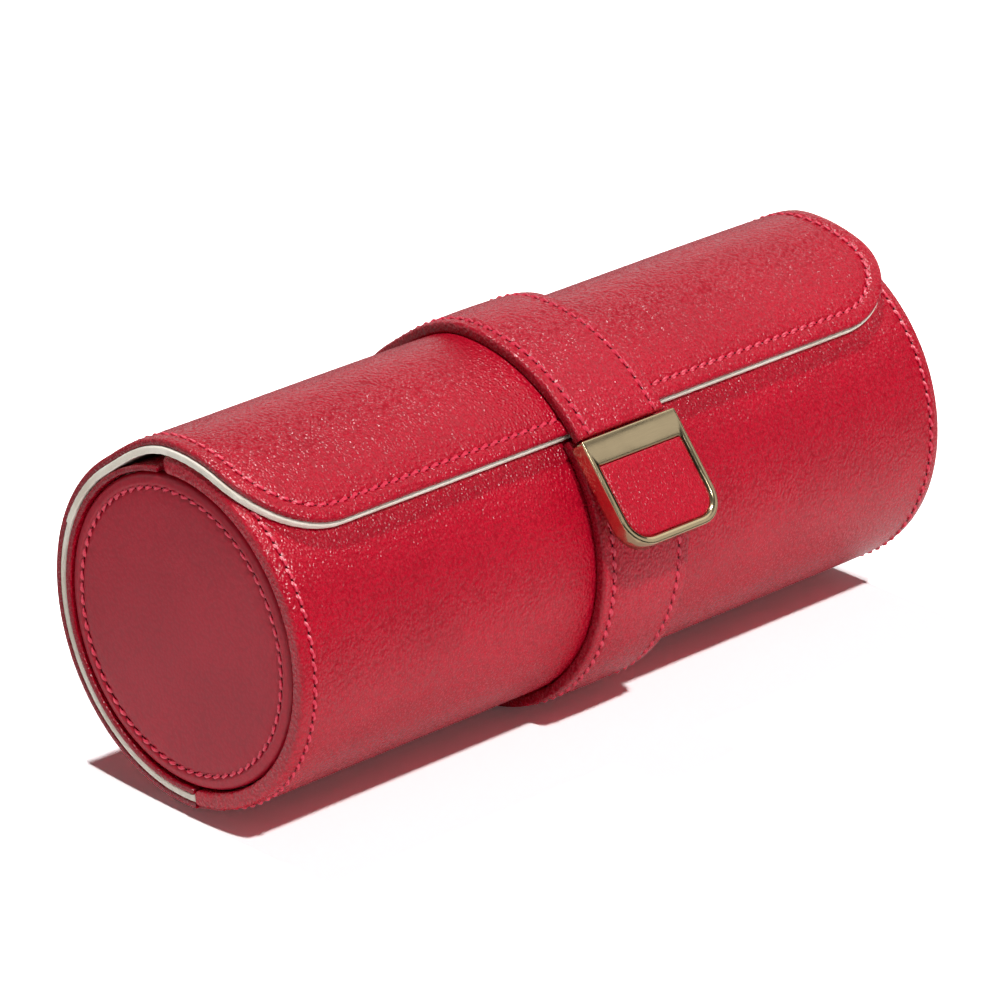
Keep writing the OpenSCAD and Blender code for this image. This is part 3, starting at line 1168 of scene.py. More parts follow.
def tab_outline(w: float, h: float, r_bottom: float, r_top: float, top: float) -> Array:
    """Outline of a tab that hangs from a height, with its own lower corners.

    Args:
        w: Width.
        h: Height.
        r_bottom: Radius of the lower corners.
        r_top: Radius of the upper corners.
        top: Height of the upper edge.

    Returns:
        Points of x and height, clockwise.
    """
    corners = [(1, r_top, 90), (1, r_bottom, 0), (-1, r_bottom, -90), (-1, r_top, 180)]
    arcs = []
    for hand, r, start in corners:
        z = top - r if start in (90, 180) else top - h + r
        arcs.append(corner_points((hand * w / 2 - hand * r, z), r, start, start - 90))
    return np.concatenate(arcs)


@dataclass
class Plate:
    """A flat pad between two faces, with rounded edges and a crowned face.

    Attributes:
        name: Name of the piece.
        outline: Closed outline in the plate's plane, clockwise from its front.
        thickness: From back to front at the edge's full height.
        edge: Radius of the rounded edges.
        crown: How far the middle of the front stands above its edge.
        back_crown: How far the middle of the back stands out.
        lift: Turns plane points and a depth into places on the case.
        rings: Rings of faces from the edge to the middle.
        middle: Point that the rings shrink to, or None for the outline's own middle.
    """

    name: str
    outline: Array
    thickness: float
    edge: float
    crown: float
    lift: Callable[[Array, Array], Array]
    back_crown: float = 0.0
    rings: int = 8
    middle: tuple[float, float] | None = None

    def build(self) -> Piece:
        """Builds the closed plate."""
        count = len(self.outline)
        middle = np.array(self.middle) if self.middle else self.outline.mean(0)
        size = np.linalg.norm(self.outline - middle, axis=1).mean()
        inner = 1 - self.edge / size
        turns = [math.pi / 2 * k / 4 for k in range(5)]
        loops: list[tuple[float, float]] = []
        for k in range(1, self.rings):
            t = k / self.rings
            loops.append((inner * t, -self.back_crown * (1 - t * t)))
        loops += [
            (inner + self.edge / size * math.sin(t), self.edge * (1 - math.cos(t))) for t in turns
        ]
        loops += [
            (inner + self.edge / size * math.cos(t), self.thickness - self.edge * (1 - math.sin(t)))
            for t in turns
        ]
        for k in range(self.rings - 1, 0, -1):
            t = k / self.rings
            loops.append((inner * t, self.thickness + self.crown * (1 - t * t)))
        flat = [middle + (self.outline - middle) * scale for scale, _ in loops]
        depth = [np.full(count, level) for _, level in loops]
        flat += [middle[None], middle[None]]
        depth += [np.array([-self.back_crown]), np.array([self.thickness + self.crown])]
        points = self.lift(np.concatenate(flat), np.concatenate(depth))
        index = np.arange(len(loops) * count).reshape(len(loops), count)
        faces = stack_faces(index) + fan_faces(index[0], len(points) - 2)
        faces += fan_faces(index[-1], len(points) - 1, flip=True)
        return finish_mesh(self.name, points, faces)


# ---- Wrap ----


@dataclass
class Wrap:
    """The lined leather that goes round the tube from the bottom seam to the flap's edge.

    Attributes:
        tube: The tube.
        half_width: Half its length along the tube.
        edge_angle: Angle of the flap's free edge.
        seam_angle: Angle of the bottom seam.
        join_angle: Angle where the lower and the upper piece meet, between the folds.
        corner: Radius of the flap's corners.
        bevel: Radius of the leather's rounded edge.
        stitch_inset: From the outline to the row of stitches.
        lower_fold: Heights where the lower fold starts and ends; not used.
        lining_spare: How far the lining stands out past the leather's edge.
    """

    tube: Round
    half_width: float
    edge_angle: float = 44.6
    seam_angle: float = 276.05
    join_angle: float = 158.0
    corner: float = 21 * MM
    bevel: float = 0.6 * MM
    stitch_inset: float = 3.9 * MM
    lining_spare: float = 0.45 * MM
    lower_fold: tuple[float, float] = (26 * MM, 46 * MM)

    def run(self, angle: float) -> float:
        """Run round the tube at an angle, measured on the flap."""
        return math.radians(angle) * self.tube.front

    def across(self, inset: float) -> Array:
        """Column positions, fine where the flap's corners turn.

        Args:
            inset: How far the grid stays inside the outline.

        Returns:
            Positions along the tube.
        """
        radius = self.corner - inset
        centre = self.half_width - self.corner
        bend = centre + radius * np.sin(np.radians(np.arange(0, 90.1, 1.5)))
        return mirrored(np.concatenate([graded([0, centre], [2.5 * MM])[:-1], bend]))

    def upper_grid(self, inset: float) -> Array:
        """Flat grid of the upper piece, whose first row follows the flap's outline.

        Args:
            inset: How far the grid stays inside the outline.

        Returns:
            Rows by columns of x and run.
        """
        x = self.across(inset)
        drop = corner_drop(x, self.half_width, self.corner, inset)
        start = self.run(self.edge_angle) + inset + drop
        end = self.run(self.join_angle)
        reach = end - self.run(self.edge_angle)
        down = graded([0, 8 * MM, 24 * MM, reach], [0.35 * MM, 0.7 * MM, 1.6 * MM]) / reach
        return sloped_grid(x, start, end, down)

    def lower_grid(self, inset: float) -> Array:
        """Flat grid of the lower piece."""
        end = self.seam_angle - math.degrees(inset / self.tube.front)
        angles = graded([self.join_angle, 205, end], [1.5, 2.2])
        return plain_grid(self.across(inset), angles, self.tube.front)

    def distance(self, x: Array, run: Array) -> Array:
        """Distance from the wrap's outline, round the flap's corners."""
        side = self.half_width - np.abs(x)
        down = run - self.run(self.edge_angle)
        past_x = np.maximum(self.corner - side, 0)
        past_run = np.maximum(self.corner - down, 0)
        turned_in = self.corner - np.hypot(past_x, past_run)
        return np.where((past_x > 0) & (past_run > 0), turned_in, np.minimum(side, down))

    def sunk(self, x: Array, run: Array) -> Array:
        """How far the leather sinks at the stitches, and stands up beside them."""
        d = self.distance(x, run)
        inset = self.stitch_inset
        pressed = groove(d, inset, 0.3 * MM, 0.6 * MM)
        puff = 0.22 * MM * np.sin(np.pi * np.clip(d / inset, 0, 1))
        swell = 0.16 * MM * smooth_step((d - inset) / (5 * MM))
        return pressed - puff - swell + 0.16 * MM

    def shaded(self, x: Array, run: Array) -> Array:
        """Painted shade in the stitch channel."""
        return channel_shade(self.distance(x, run), self.stitch_inset)

    def face(self, x: Array, angle: Array) -> Array:
        """Radius of the leather's outer face, with the slight waves of a soft sheet."""
        waves = 0.10 * MM * np.sin(x / (17 * MM) + 0.6) * np.sin(np.radians(angle) * 2.4 + 0.4)
        return self.tube.wrap(angle) + waves

    def path(self, low: float, high: float, upper: bool) -> list[tuple[Array, Array]]:
        """Paths of the stitches on one of the two pieces.

        Args:
            low: Angle where the rows start.
            high: Angle where they end.
            upper: Whether the rows turn along the flap's edge.

        Returns:
            Points and normals of each row.
        """
        inset = self.stitch_inset
        side = self.half_width - inset
        rows = []
        for hand in (-1, 1):
            straight = np.arange(high, low, -0.5)
            x, run = np.full(len(straight), side), np.radians(straight) * self.tube.front
            if upper:
                r = self.corner - inset
                start = self.run(self.edge_angle) + self.corner
                keep = run > start
                turn = np.radians(np.arange(0, 90.1, 3))
                bend_x = self.half_width - self.corner + r * np.cos(turn)
                bend_run = start - r * np.sin(turn)
                inner = np.arange(bend_x[-1], self.tube.strap_half + 0.9 * MM, -1 * MM)[1:]
                x = np.concatenate([x[keep], bend_x, inner])
                run = np.concatenate([run[keep], bend_run, np.full(len(inner), bend_run[-1])])
            rows.append(self.on_face(hand * x, run))
        return rows

    def on_face(self, x: Array, run: Array) -> tuple[Array, Array]:
        """Points on the leather's face, and the normals there."""
        angle = np.degrees(run / self.tube.front)
        points = self.tube.place(x, angle, self.face(x, angle) - self.sunk(x, run))
        return points, self.tube.outward(x, angle)

    def slab(self, name: str, upper: bool, lining: bool) -> Piece:
        """Builds one layer of one piece.

        Args:
            name: Name of the piece.
            upper: The upper piece, with the flap, or the lower one.
            lining: The suede lining, or the leather.

        Returns:
            The slab.
        """
        edge = 0.35 * MM if lining else self.bevel
        inset = edge - self.lining_spare if lining else edge
        grid = self.upper_grid(inset) if upper else self.lower_grid(edge)
        down = self.tube.leather if lining else 0.0

        def face(x: Array, angle: Array) -> Array:
            fuzz = 0.0
            if lining:
                fuzz = 0.05 * MM * np.sin(x / (0.9 * MM)) * np.cos(angle * 1.7)
            return self.face(x, angle) - down + fuzz

        return Slab(
            name, self.tube, grid, self.tube.front, face,
            even(self.tube.lining if lining else self.tube.leather - 0.05 * MM), edge,
            relief=None if lining else self.sunk, channel=None if lining else self.shaded,
            cut_first=not upper, cut_last=upper
        ).build()

    def bend_lower(self, piece: Piece) -> None:
        """Bakes a piece's transform into its mesh; it is not bent at the lower fold."""
        low, high = self.lower_fold
        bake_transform(piece)

    def bend_upper(self, piece: Piece) -> None:
        """Bakes a piece's transform into its mesh; it is not bent at the upper fold."""
        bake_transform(piece)

    def build(self, shapes: StitchShapes) -> None:
        """Builds leather, lining and seams of both pieces."""
        for upper in (True, False):
            level = "upper" if upper else "lower"
            panels = ("flap", "wrap_top") if upper else ("wrap_back",)
            low, high = (self.edge_angle, self.join_angle) if upper else (self.join_angle, 272)
            leather = self.slab(f"wrap_{level}_leather", upper, lining=False)
            fit(
                leather, FACE_LEATHER, Slot.RED_LEATHER, None,
                *(f"{name}_leather" for name in panels)
            )
            lining = self.slab(f"wrap_{level}_lining", upper, lining=True)
            fit(
                lining, LINING_FINISH, Slot.LINING_SUEDE, None,
                *(f"{name}_lining" for name in panels)
            )
            seam = Seam(f"wrap_{level}_stitches")
            for points, normals in self.path(low, high, upper):
                seam.add(points, normals)
            bend = self.bend_upper if upper else self.bend_lower
            for piece in (leather, lining, seam.sew(shapes)):
                bend(piece)


# ---- Strap ----


@dataclass
class Strap:
    """The strap round the middle: over the wrap, under the case and up the front shell.

    Attributes:
        tube: The tube.
        wrap: The wrap that it lies on.
        bevel: Radius of its rounded edge.
        stitch_at: From its middle to a row of stitches.
        thickness: Thickness of the strap.
        front_thickness: Thickness of the piece on the front shell.
        end_angle: Angle of its end above the clasp.
        base_angle: Angle where the piece under the case starts.
        front_angle: Angle where the piece on the front shell starts.
        front_end: Angle of its end under the flap.
        step: Degrees from row to row.
    """

    tube: Round
    wrap: Wrap
    bevel: float = 0.75 * MM
    stitch_at: float = 10.2 * MM
    thickness: float = 2.9 * MM
    front_thickness: float = 3.0 * MM
    end_angle: float = 40.8
    base_angle: float = 236.0
    front_angle: float = -70.0
    front_end: float = 42.5
    step: float = 2.0

    def across(self) -> Array:
        """Column positions, fine beside the rows of stitches."""
        half = self.tube.strap_half - self.bevel
        right = graded(
            [0, self.stitch_at - 1.6 * MM, self.stitch_at + 1.2 * MM, half],
            [1.2 * MM, 0.2 * MM, 0.35 * MM]
        )
        return mirrored(right)

    def sunk(self, x: Array, run: Array) -> Array:
        """How far the face sinks at the rows and outside them."""
        d = np.abs(np.abs(x) - self.stitch_at)
        outside = smooth_step((np.abs(x) - self.stitch_at) / (1 * MM))
        crown = 0.25 * MM * (1 - (x / self.stitch_at) ** 2)
        return groove(d, 0, 0.34 * MM, 0.5 * MM) + 0.1 * MM * outside - np.maximum(crown, 0)

    def shaded(self, x: Array, run: Array) -> Array:
        """Painted shade in the stitch channels."""
        return channel_shade(np.abs(x), self.stitch_at)

    def over_wrap(self, x: Array, angle: Array) -> Array:
        """Radius of the face where the strap lies on the wrap."""
        return self.wrap.face(x * 0, angle) + self.tube.strap_lift

    def at_base(self, x: Array, angle: Array) -> Array:
        """Radius of the face under the case, from the wrap to the front shell."""
        step = smooth_step((angle - 268) / 16)
        over = self.over_wrap(x, angle)
        return over + (self.tube.strap - over) * step

    def piece(
        self, name: str, angles: Array, face: Face, thickness: float, cuts: tuple[bool, bool]
    ) -> Piece:
        """Builds one stretch of the strap.

        Args:
            name: Name of the piece.
            angles: Angles of its rows.
            face: Radius of its face.
            thickness: Its thickness.
            cuts: Whether its first and last rows are cut square.

        Returns:
            The slab.
        """
        reach = self.tube.front
        return Slab(
            name, self.tube, plain_grid(self.across(), angles, reach), reach, face, even(thickness),
            self.bevel, relief=self.sunk, channel=self.shaded, cut_first=cuts[0], cut_last=cuts[1]
        ).build()

    def seam(self, name: str, low: float, high: float, face: Face, shapes: StitchShapes) -> Piece:
        """Sews both rows of one stretch."""
        angle = np.arange(low, high, 0.5)
        seam = Seam(name)
        for hand in (-1, 1):
            x = np.full(len(angle), hand * self.stitch_at)
            points = self.tube.place(x, angle, face(x, angle) - self.sunk(x, angle))
            seam.add(points, self.tube.outward(x, angle))
        return seam.sew(shapes)

    def build(self, shapes: StitchShapes) -> None:
        """Builds the four stretches and their seams."""
        join, made_of = self.wrap.join_angle, (STRAP_FINISH, Slot.STRAP_LEATHER)
        on_shell = even(self.tube.strap)
        edge = math.degrees(self.bevel / self.tube.front)
        angles = graded([self.end_angle + edge, 48, join], [0.8, self.step])
        piece = self.piece("strap_upper", angles, self.over_wrap, self.thickness, (False, True))
        fit(piece, *made_of, None, "strap_flap", "strap_top")
        self.wrap.bend_upper(piece)
        self.wrap.bend_upper(
            self.seam("strap_upper_stitches", self.end_angle + 2, join, self.over_wrap, shapes)
        )
        angles = graded([join, self.base_angle], [self.step])
        piece = self.piece("strap_lower", angles, self.over_wrap, self.thickness, (True, True))
        fit(piece, *made_of, None, "strap_back")
        self.wrap.bend_lower(piece)
        self.wrap.bend_lower(
            self.seam("strap_lower_stitches", join + 1.5, self.base_angle, self.over_wrap, shapes)
        )
        angles = graded([self.base_angle, self.front_angle + 360], [self.step])
        piece = self.piece("strap_base", angles, self.at_base, self.thickness, (True, True))
        fit(piece, *made_of, None)
        bend_bottom(piece)
        angles = graded([self.front_angle, self.front_end - edge], [self.step])
        piece = self.piece(
            "strap_front_leather", angles, on_shell, self.front_thickness, (True, False)
        )
        fit(piece, *made_of, Body.FRONT_SHELL, "strap_front")
        rows = self.seam("strap_front_stitches", -64, self.front_end - 3, on_shell, shapes)
        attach(rows, Body.FRONT_SHELL.value)


# ---- Tube: tray, discs and front shell ----


@dataclass
class EndDisc:
    """A round end: leather pulled over a stiff disc, puffed outside its ring of stitches.

    Attributes:
        tube: The tube.
        thickness: Thickness of the disc.
        ring_inset: From the disc's edge to the ring of stitches.
        edge: Radius of the puffed edge.
        segments: Steps round the disc.
    """

    tube: Round
    thickness: float = 3.2 * MM
    ring_inset: float = 3.3 * MM
    edge: float = 1.5 * MM
    segments: int = 360

    def ring(self) -> float:
        """Radius of the ring of stitches."""
        return self.tube.disc - self.ring_inset

    def profile(self) -> Array:
        """Section of the disc, from the middle of its back to the middle of its face."""
        face = self.tube.half_length - 0.1 * MM
        inner = self.tube.half_length - self.thickness
        ring, edge, disc = self.ring(), self.edge, self.tube.disc
        back = [(0, inner), (disc * 0.5, inner), (disc - 0.4 * MM, inner), (disc, inner + 0.4 * MM)]
        turns = np.radians(np.linspace(0, 90, 8))
        low = face - 0.35 * MM
        puffed = [
            (disc - edge + edge * math.cos(t), low - edge + edge * math.sin(t)) for t in turns
        ]
        across = []
        for r in graded([disc - edge, ring, ring - 6 * MM, 0], [0.2 * MM, 0.3 * MM, 2.5 * MM])[1:]:
            if r > ring:
                bulge = 0.18 * MM * math.sin(math.pi * (r - ring) / (disc - edge - ring))
                across.append((r, low + bulge))
            else:
                rise = 1 - (r / ring) ** 2
                soft = float(smooth_step((ring - r) / (4 * MM)))
                across.append((r, low + 0.12 * MM * soft + 0.3 * MM * rise))
        return np.array(back + puffed + across)

    def sunk(self, radius: Array, turn: Array) -> Array:
        """Depth of the stitch channel, with a pucker at each stitch."""
        count = round(2 * math.pi * self.ring() / (3 * MM))
        pressed = groove(radius, self.ring(), 0.4 * MM, 0.6 * MM)
        wide = groove(radius, self.ring(), 0.12 * MM, 1.5 * MM)
        return pressed + wide * (0.6 + 0.4 * np.cos(count * turn))

    def build(self, side: int, shapes: StitchShapes) -> None:
        """Builds one disc and its ring of stitches."""
        name = "left" if side < 0 else "right"
        piece = turned(
            f"end_disc_{name}_leather", self.tube, self.profile(), side, self.segments, self.sunk
        )
        ring = self.ring()
        # Painted shade in the ring's stitch channel.
        points = read_points(piece.data)
        radius = np.hypot(points[:, 1], points[:, 2] - self.tube.axis_height)
        layer = piece.data.attributes.new("channel", "FLOAT", "POINT")
        layer.data.foreach_set("value", channel_shade(radius, ring).astype(np.float32))
        fit(piece, DISC_FINISH, Slot.DISC_LEATHER, Body.TRAY, f"end_disc_{name}")
        turn = np.linspace(0, 2 * math.pi, 241)
        face = self.tube.half_length - 0.45 * MM - 0.4 * MM
        points = np.stack(
            [
                np.full(len(turn), side * face), ring * np.cos(turn),
                self.tube.axis_height + ring * np.sin(turn)
            ],
            1
        )
        seam = Seam(f"end_disc_{name}_stitches")
        seam.add(points[::side], np.tile([float(side), 0.0, 0.0], (len(turn), 1)))
        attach(seam.sew(shapes), Body.TRAY.value)


@dataclass
class Shells:
    """The two halves of the tube and the suede inside them.

    Attributes:
        tube: The tube.
        tray_wall: Wall of the tray shell.
        front_wall: Wall of the padded front shell.
        top_angle: Angle of the top parting line.
        seam_angle: Angle of the bottom seam on the tray.
        front_start: Angle of the bottom seam on the front shell.
        suede: Thickness of the suede.
        stitch_inset: From the front shell's ends to its rows of stitches.
        corner: Radius of the front shell's upper corners.
        turn: How far its face falls off at its ends.
        skive: How far its face falls off at its top edge.
        skive_reach: Over what length it does so.
        lip: Inner radius of the front shell's turned ends.
    """

    tube: Round
    tray_wall: float = 1.4 * MM
    front_wall: float = 2.9 * MM
    top_angle: float = 98.8
    seam_angle: float = 276.05
    front_start: float = -83.08
    suede: float = 1.0 * MM
    stitch_inset: float = 3.3 * MM
    corner: float = 4.0 * MM
    turn: float = 0.7 * MM
    skive: float = 1.0 * MM
    skive_reach: float = 7 * MM
    lip: float = 36.5 * MM

    def shell_grid(self, edge: float) -> Array:
        """Flat grid of the front shell, whose upper corners are rounded.

        Args:
            edge: How far the grid stays inside the outline.

        Returns:
            Rows by columns of x and run.
        """
        tube = self.tube
        fine_at = tube.half_length - self.stitch_inset
        radius = self.corner - edge
        centre = tube.half_length - self.corner
        bend = centre + radius * np.sin(np.radians(np.arange(0, 90.1, 5)))
        flat = graded([0, fine_at - 2 * MM, centre], [3 * MM, 0.25 * MM])[:-1]
        x = mirrored(np.concatenate([flat, bend]))
        drop = corner_drop(x, tube.half_length, self.corner, edge)
        start = math.radians(self.front_start) * tube.shell + edge
        end = math.radians(self.top_angle) * tube.shell - edge - drop
        down = graded([0, 0.9, 0.98, 1], [0.012, 0.006, 0.002])
        return sloped_grid(x, start, end, down)

    def lipped(self, x: Array, run: Array) -> Array:
        """Thickness of the front shell, which closes round the end discs."""
        step = self.tube.half_length - self.front_wall
        lip = self.tube.shell - self.lip - self.front_wall
        return self.front_wall + lip * smooth_step((np.abs(x) - step + 0.3 * MM) / (0.6 * MM))

    def front_leather(self) -> Piece:
        """Builds the padded front shell."""
        tube = self.tube
        edge = self.front_wall * 0.45
        return Slab(
            "front_shell_leather", tube, self.shell_grid(edge), tube.shell, even(tube.shell),
            self.lipped, edge, relief=self.sunk, channel=self.shaded, painted=0.0, edge_steps=5
        ).build()

    def sunk(self, x: Array, run: Array) -> Array:
        """How far the front shell's leather sinks at its rows of stitches."""
        d = self.tube.half_length - np.abs(x)
        pressed = groove(d, self.stitch_inset, 0.3 * MM, 0.55 * MM)
        settled = 0.1 * MM * (1 - smooth_step((d - self.stitch_inset) / (6 * MM)))
        turned_in = self.turn * np.maximum(1 - d / self.stitch_inset, 0) ** 2
        below = math.radians(self.top_angle) * self.tube.shell - run
        skived = self.skive * np.maximum(1 - below / self.skive_reach, 0) ** 2
        return pressed + settled + turned_in + skived

    def shaded(self, x: Array, run: Array) -> Array:
        """Painted shade in the stitch channels."""
        return channel_shade(self.tube.half_length - np.abs(x), self.stitch_inset)

    def layer(
        self, name: str, half: float, angles: tuple[float, float], outer: float, thickness: float,
        edge: float
    ) -> Piece:
        """Builds one plain round layer.

        Args:
            name: Name of the piece.
            half: Half its length.
            angles: Its first and last angle.
            outer: Its outer radius.
            thickness: Its thickness.
            edge: Radius of its rounded edges.

        Returns:
            The slab.
        """
        inset = math.degrees(edge / outer)
        across = graded([edge - half, half - edge], [4 * MM])
        rows = graded([angles[0] + inset, angles[1] - inset], [2.0])
        return Slab(
            name, self.tube, plain_grid(across, rows, outer), outer, even(outer), even(thickness),
            edge
        ).build()

    def build(self, shapes: StitchShapes) -> None:
        """Builds both shells, their linings and the seams."""
        tube = self.tube
        inner = tube.half_length - 4.25 * MM
        tray = self.layer(
            "tray_leather", tube.half_length, (self.top_angle + 0.45, self.seam_angle), tube.tray,
            self.tray_wall, 0.55 * MM
        )
        fit(tray, FACE_LEATHER, Slot.RED_LEATHER, Body.TRAY, "tray_shell")
        suede = self.layer(
            "tray_suede", inner, (self.top_angle + 0.5, self.seam_angle),
            tube.tray - self.tray_wall - 0.05 * MM, self.suede, 0.3 * MM
        )
        fit(suede, LINING_FINISH, Slot.LINING_SUEDE, Body.TRAY, "tray_lining")
        shell = self.front_leather()
        fit(shell, FACE_LEATHER, Slot.RED_LEATHER, Body.FRONT_SHELL, "front_shell")
        suede = self.layer(
            "front_shell_suede", tube.half_length - self.front_wall,
            (self.front_start, self.top_angle), tube.shell - self.front_wall - 0.05 * MM,
            self.suede - 0.1 * MM, 0.3 * MM
        )
        fit(suede, LINING_FINISH, Slot.LINING_SUEDE, Body.FRONT_SHELL, "front_lining")
        seam = Seam("front_shell_stitches")
        angle = np.arange(self.top_angle - 4, self.front_start + 5, -0.5)
        turn = np.radians(angle)
        for hand in (-1, 1):
            x = np.full(len(angle), hand * (tube.half_length - self.stitch_inset))
            points = tube.place(x, angle, tube.shell - self.sunk(x, turn * tube.shell))
            seam.add(points, tube.outward(x, angle))
        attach(seam.sew(shapes), Body.FRONT_SHELL.value)
        self.hinge()
        for side in (-1, 1):
            self.end_lining(side)
            EndDisc(tube).build(side, shapes)

    def hinge(self) -> None:
        """Builds the thin leather that joins tray and front shell under the case."""
        tube = self.tube
        half = tube.half_length - 1.2 * MM

        def face(x: Array, angle: Array) -> Array:
            step = smooth_step((angle - 270) / 13)
            over, under = tube.back - 0.05 * MM, tube.shell - 0.05 * MM
            return over + (under - over) * step

        grid = plain_grid(graded([-half, half], [4 * MM]), graded([266.0, 288.0], [1.0]), tube.back)
        slab = Slab("hinge_leather", tube, grid, tube.back, face, even(0.7 * MM), 0.3 * MM).build()
        fit(slab, FACE_LEATHER, Slot.RED_LEATHER, None)
        bend_bottom(slab)

    def end_lining(self, side: int) -> None:
        """Builds the suede face inside one end."""
        name = "left" if side < 0 else "right"
        low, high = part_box(f"end_lining_{name}")
        x_in, x_out = sorted((abs(low.x), abs(high.x)))
        r = (high.z - low.z) / 2
        edge = 0.3 * MM
        profile = np.array(
            [
                (0, x_out), (r - edge, x_out), (r, x_out - edge), (r, x_in + edge),
                (r - edge, x_in), (r * 0.7, x_in - 0.1 * MM), (r * 0.35, x_in - 0.2 * MM),
                (0, x_in - 0.2 * MM)
            ]
        )
        piece = turned(f"end_suede_{name}", self.tube, profile[::-1], side, 96)
        fit(piece, LINING_FINISH, Slot.LINING_SUEDE, Body.TRAY, f"end_lining_{name}")


# ---- Inside: dividers and cuffs ----


@dataclass
class Inside:
    """Padded dividers and the three foam cuffs that watches are buckled round.

    Attributes:
        tube: The tube.
        tray_clear: From the tray's outer radius to the pads that seat in it.
        cuff_grow: How far the cloth of a cuff may swell.
        frames: Steps of the cloth simulation.
    """

    tube: Round
    tray_clear: float = 2.65 * MM
    cuff_grow: float = 1.0 * MM
    frames: int = 20

    def seated(self, points: Array) -> Array:
        """Draws points back inside the tray's suede."""
        limit = self.tube.tray - self.tray_clear - 0.15 * MM
        size = np.maximum(np.linalg.norm(points, axis=1, keepdims=True), 1e-9)
        return points * np.minimum(1, limit / size)

    def lifted(self, at: float, side: int) -> Callable[[Array, Array], Array]:
        """Makes the function that stands a plate across the tube.

        Args:
            at: Position of the plate's back along the tube.
            side: Which way its thickness goes.

        Returns:
            A function of plane points and depths.
        """

        def lift(flat: Array, depth: Array) -> Array:
            return np.stack([at + side * depth, flat[:, 0], self.tube.axis_height + flat[:, 1]], 1)

        return lift

    def divider(self, side: int) -> None:
        """Builds one half round divider, a stiff board in padded suede."""
        name = "left" if side < 0 else "right"
        low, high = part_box(f"divider_{name}")
        thickness = high.x - low.x
        radius = self.tube.tray - self.tray_clear
        turns = np.radians(np.linspace(100.3, 275.0, 72))
        arc = np.stack([-radius * np.cos(turns), radius * np.sin(turns)], 1)
        chord = arc[-1] + (arc[0] - arc[-1]) * np.linspace(0, 1, 26)[1:-1, None]
        outline = np.concatenate([arc, chord])
        plate = Plate(
            f"divider_{name}_suede", outline, thickness - 0.5 * MM, 1.1 * MM, 0.25 * MM,
            self.lifted(low.x + 0.25 * MM, 1), back_crown=0.25 * MM, rings=7
        )
        fit(plate.build(), CUFF_FINISH, Slot.LINING_SUEDE, Body.TRAY, f"divider_{name}")

    def cuff_outline(self, low: Vector, high: Vector, inset: float) -> Array:
        """Soft oval of a cuff, whose back takes the tray's curve.

        Args:
            low: Lowest corner of the CAD cuff.
            high: Highest corner of the CAD cuff.
            inset: How far the outline stays inside it.

        Returns:
            Closed outline of y and height, clockwise from its front.
        """
        square_up = 0.86
        h = high.z - low.z - 2 * inset
        seat = self.tube.tray - self.tray_clear
        d = seat + 0.2 * MM - low.y - 2 * inset
        middle = low.y + inset + d / 2
        turns = np.radians(np.arange(0, 360, 5.0))
        cos, sin = np.cos(turns), np.sin(turns)
        y = middle + d / 2 * np.sign(cos) * np.abs(cos) ** square_up
        z = h / 2 * np.sign(sin) * np.abs(sin) ** square_up
        return self.seated(np.stack([y, z], 1))

    def cuff_cloth(self, low: Vector, high: Vector) -> bpy.types.Mesh:
        """Makes the soft cover of a cuff, puffed by a short cloth simulation.

        Args:
            low: Lowest corner of the middle CAD cuff.
            high: Highest corner of the middle CAD cuff.

        Returns:
            The mesh of the cuff in the middle bay.
        """
        half = (high.x - low.x) / 2
        grow = self.cuff_grow
        plate = Plate(
            "cuff_cloth", self.cuff_outline(low, high, grow), 2 * half - 2 * grow, 5 * MM, 0.0,
            self.lifted(-half + grow, 1), rings=6, middle=((low.y + high.y) / 2, 0.0)
        )
        piece = plate.build()
        self.puff(piece)
        smoother = piece.modifiers.new("even", "SUBSURF")
        smoother.levels = smoother.render_levels = 1
        self.apply(piece)
        mesh = piece.data
        bpy.data.objects.remove(piece)
        return mesh

    def apply(self, piece: Piece) -> None:
        """Bakes a piece's modifiers into its mesh."""
        graph = bpy.context.evaluated_depsgraph_get()
        mesh = bpy.data.meshes.new_from_object(piece.evaluated_get(graph))
        piece.modifiers.clear()
        piece.data = mesh

    def puff(self, piece: Piece) -> None:
        """Swells a closed cover with a short cloth simulation, and caps how far it moves."""
        remesh = piece.modifiers.new("voxels", "REMESH")
        remesh.mode = "VOXEL"
        remesh.voxel_size = 4.5 * MM
        self.apply(piece)
        start = read_points(piece.data)
        cloth = piece.modifiers.new("cover", "CLOTH")
        cloth.settings.use_pressure = True
        cloth.settings.uniform_pressure_force = 4.0
        cloth.settings.effector_weights.gravity = 0.0
        cloth.settings.quality = 6
        scene = bpy.context.scene
        for frame in range(1, self.frames + 1):
            scene.frame_set(frame)
        self.apply(piece)
        step = read_points(piece.data) - start
        size = np.maximum(np.linalg.norm(step, axis=1, keepdims=True), 1e-9)
        capped = start + step * np.minimum(1, self.cuff_grow / size)
        piece.data.vertices.foreach_set("co", capped.ravel())
        piece.data.update()
        scene.frame_set(1)

    def build(self) -> None:
        """Builds the dividers, the cuffs and their end panels."""
        for side in (-1, 1):
            self.divider(side)
        low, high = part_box("cuff_middle")
        middle = (low.x + high.x) / 2
        cloth = self.cuff_cloth(low, high)
        for place in ("left", "middle", "right"):
            near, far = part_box(f"cuff_{place}")
            shift = (near.x + far.x) / 2 - middle
            mesh = cloth.copy()
            mesh.transform(Matrix.Translation((shift, 0, 0)))
            mesh.shade_smooth()
            cuff = add_object(f"cuff_{place}_suede", mesh)
            fit(cuff, CUFF_FINISH, Slot.CUFF_SUEDE, Body.TRAY, f"cuff_{place}")
            self.panels(place)

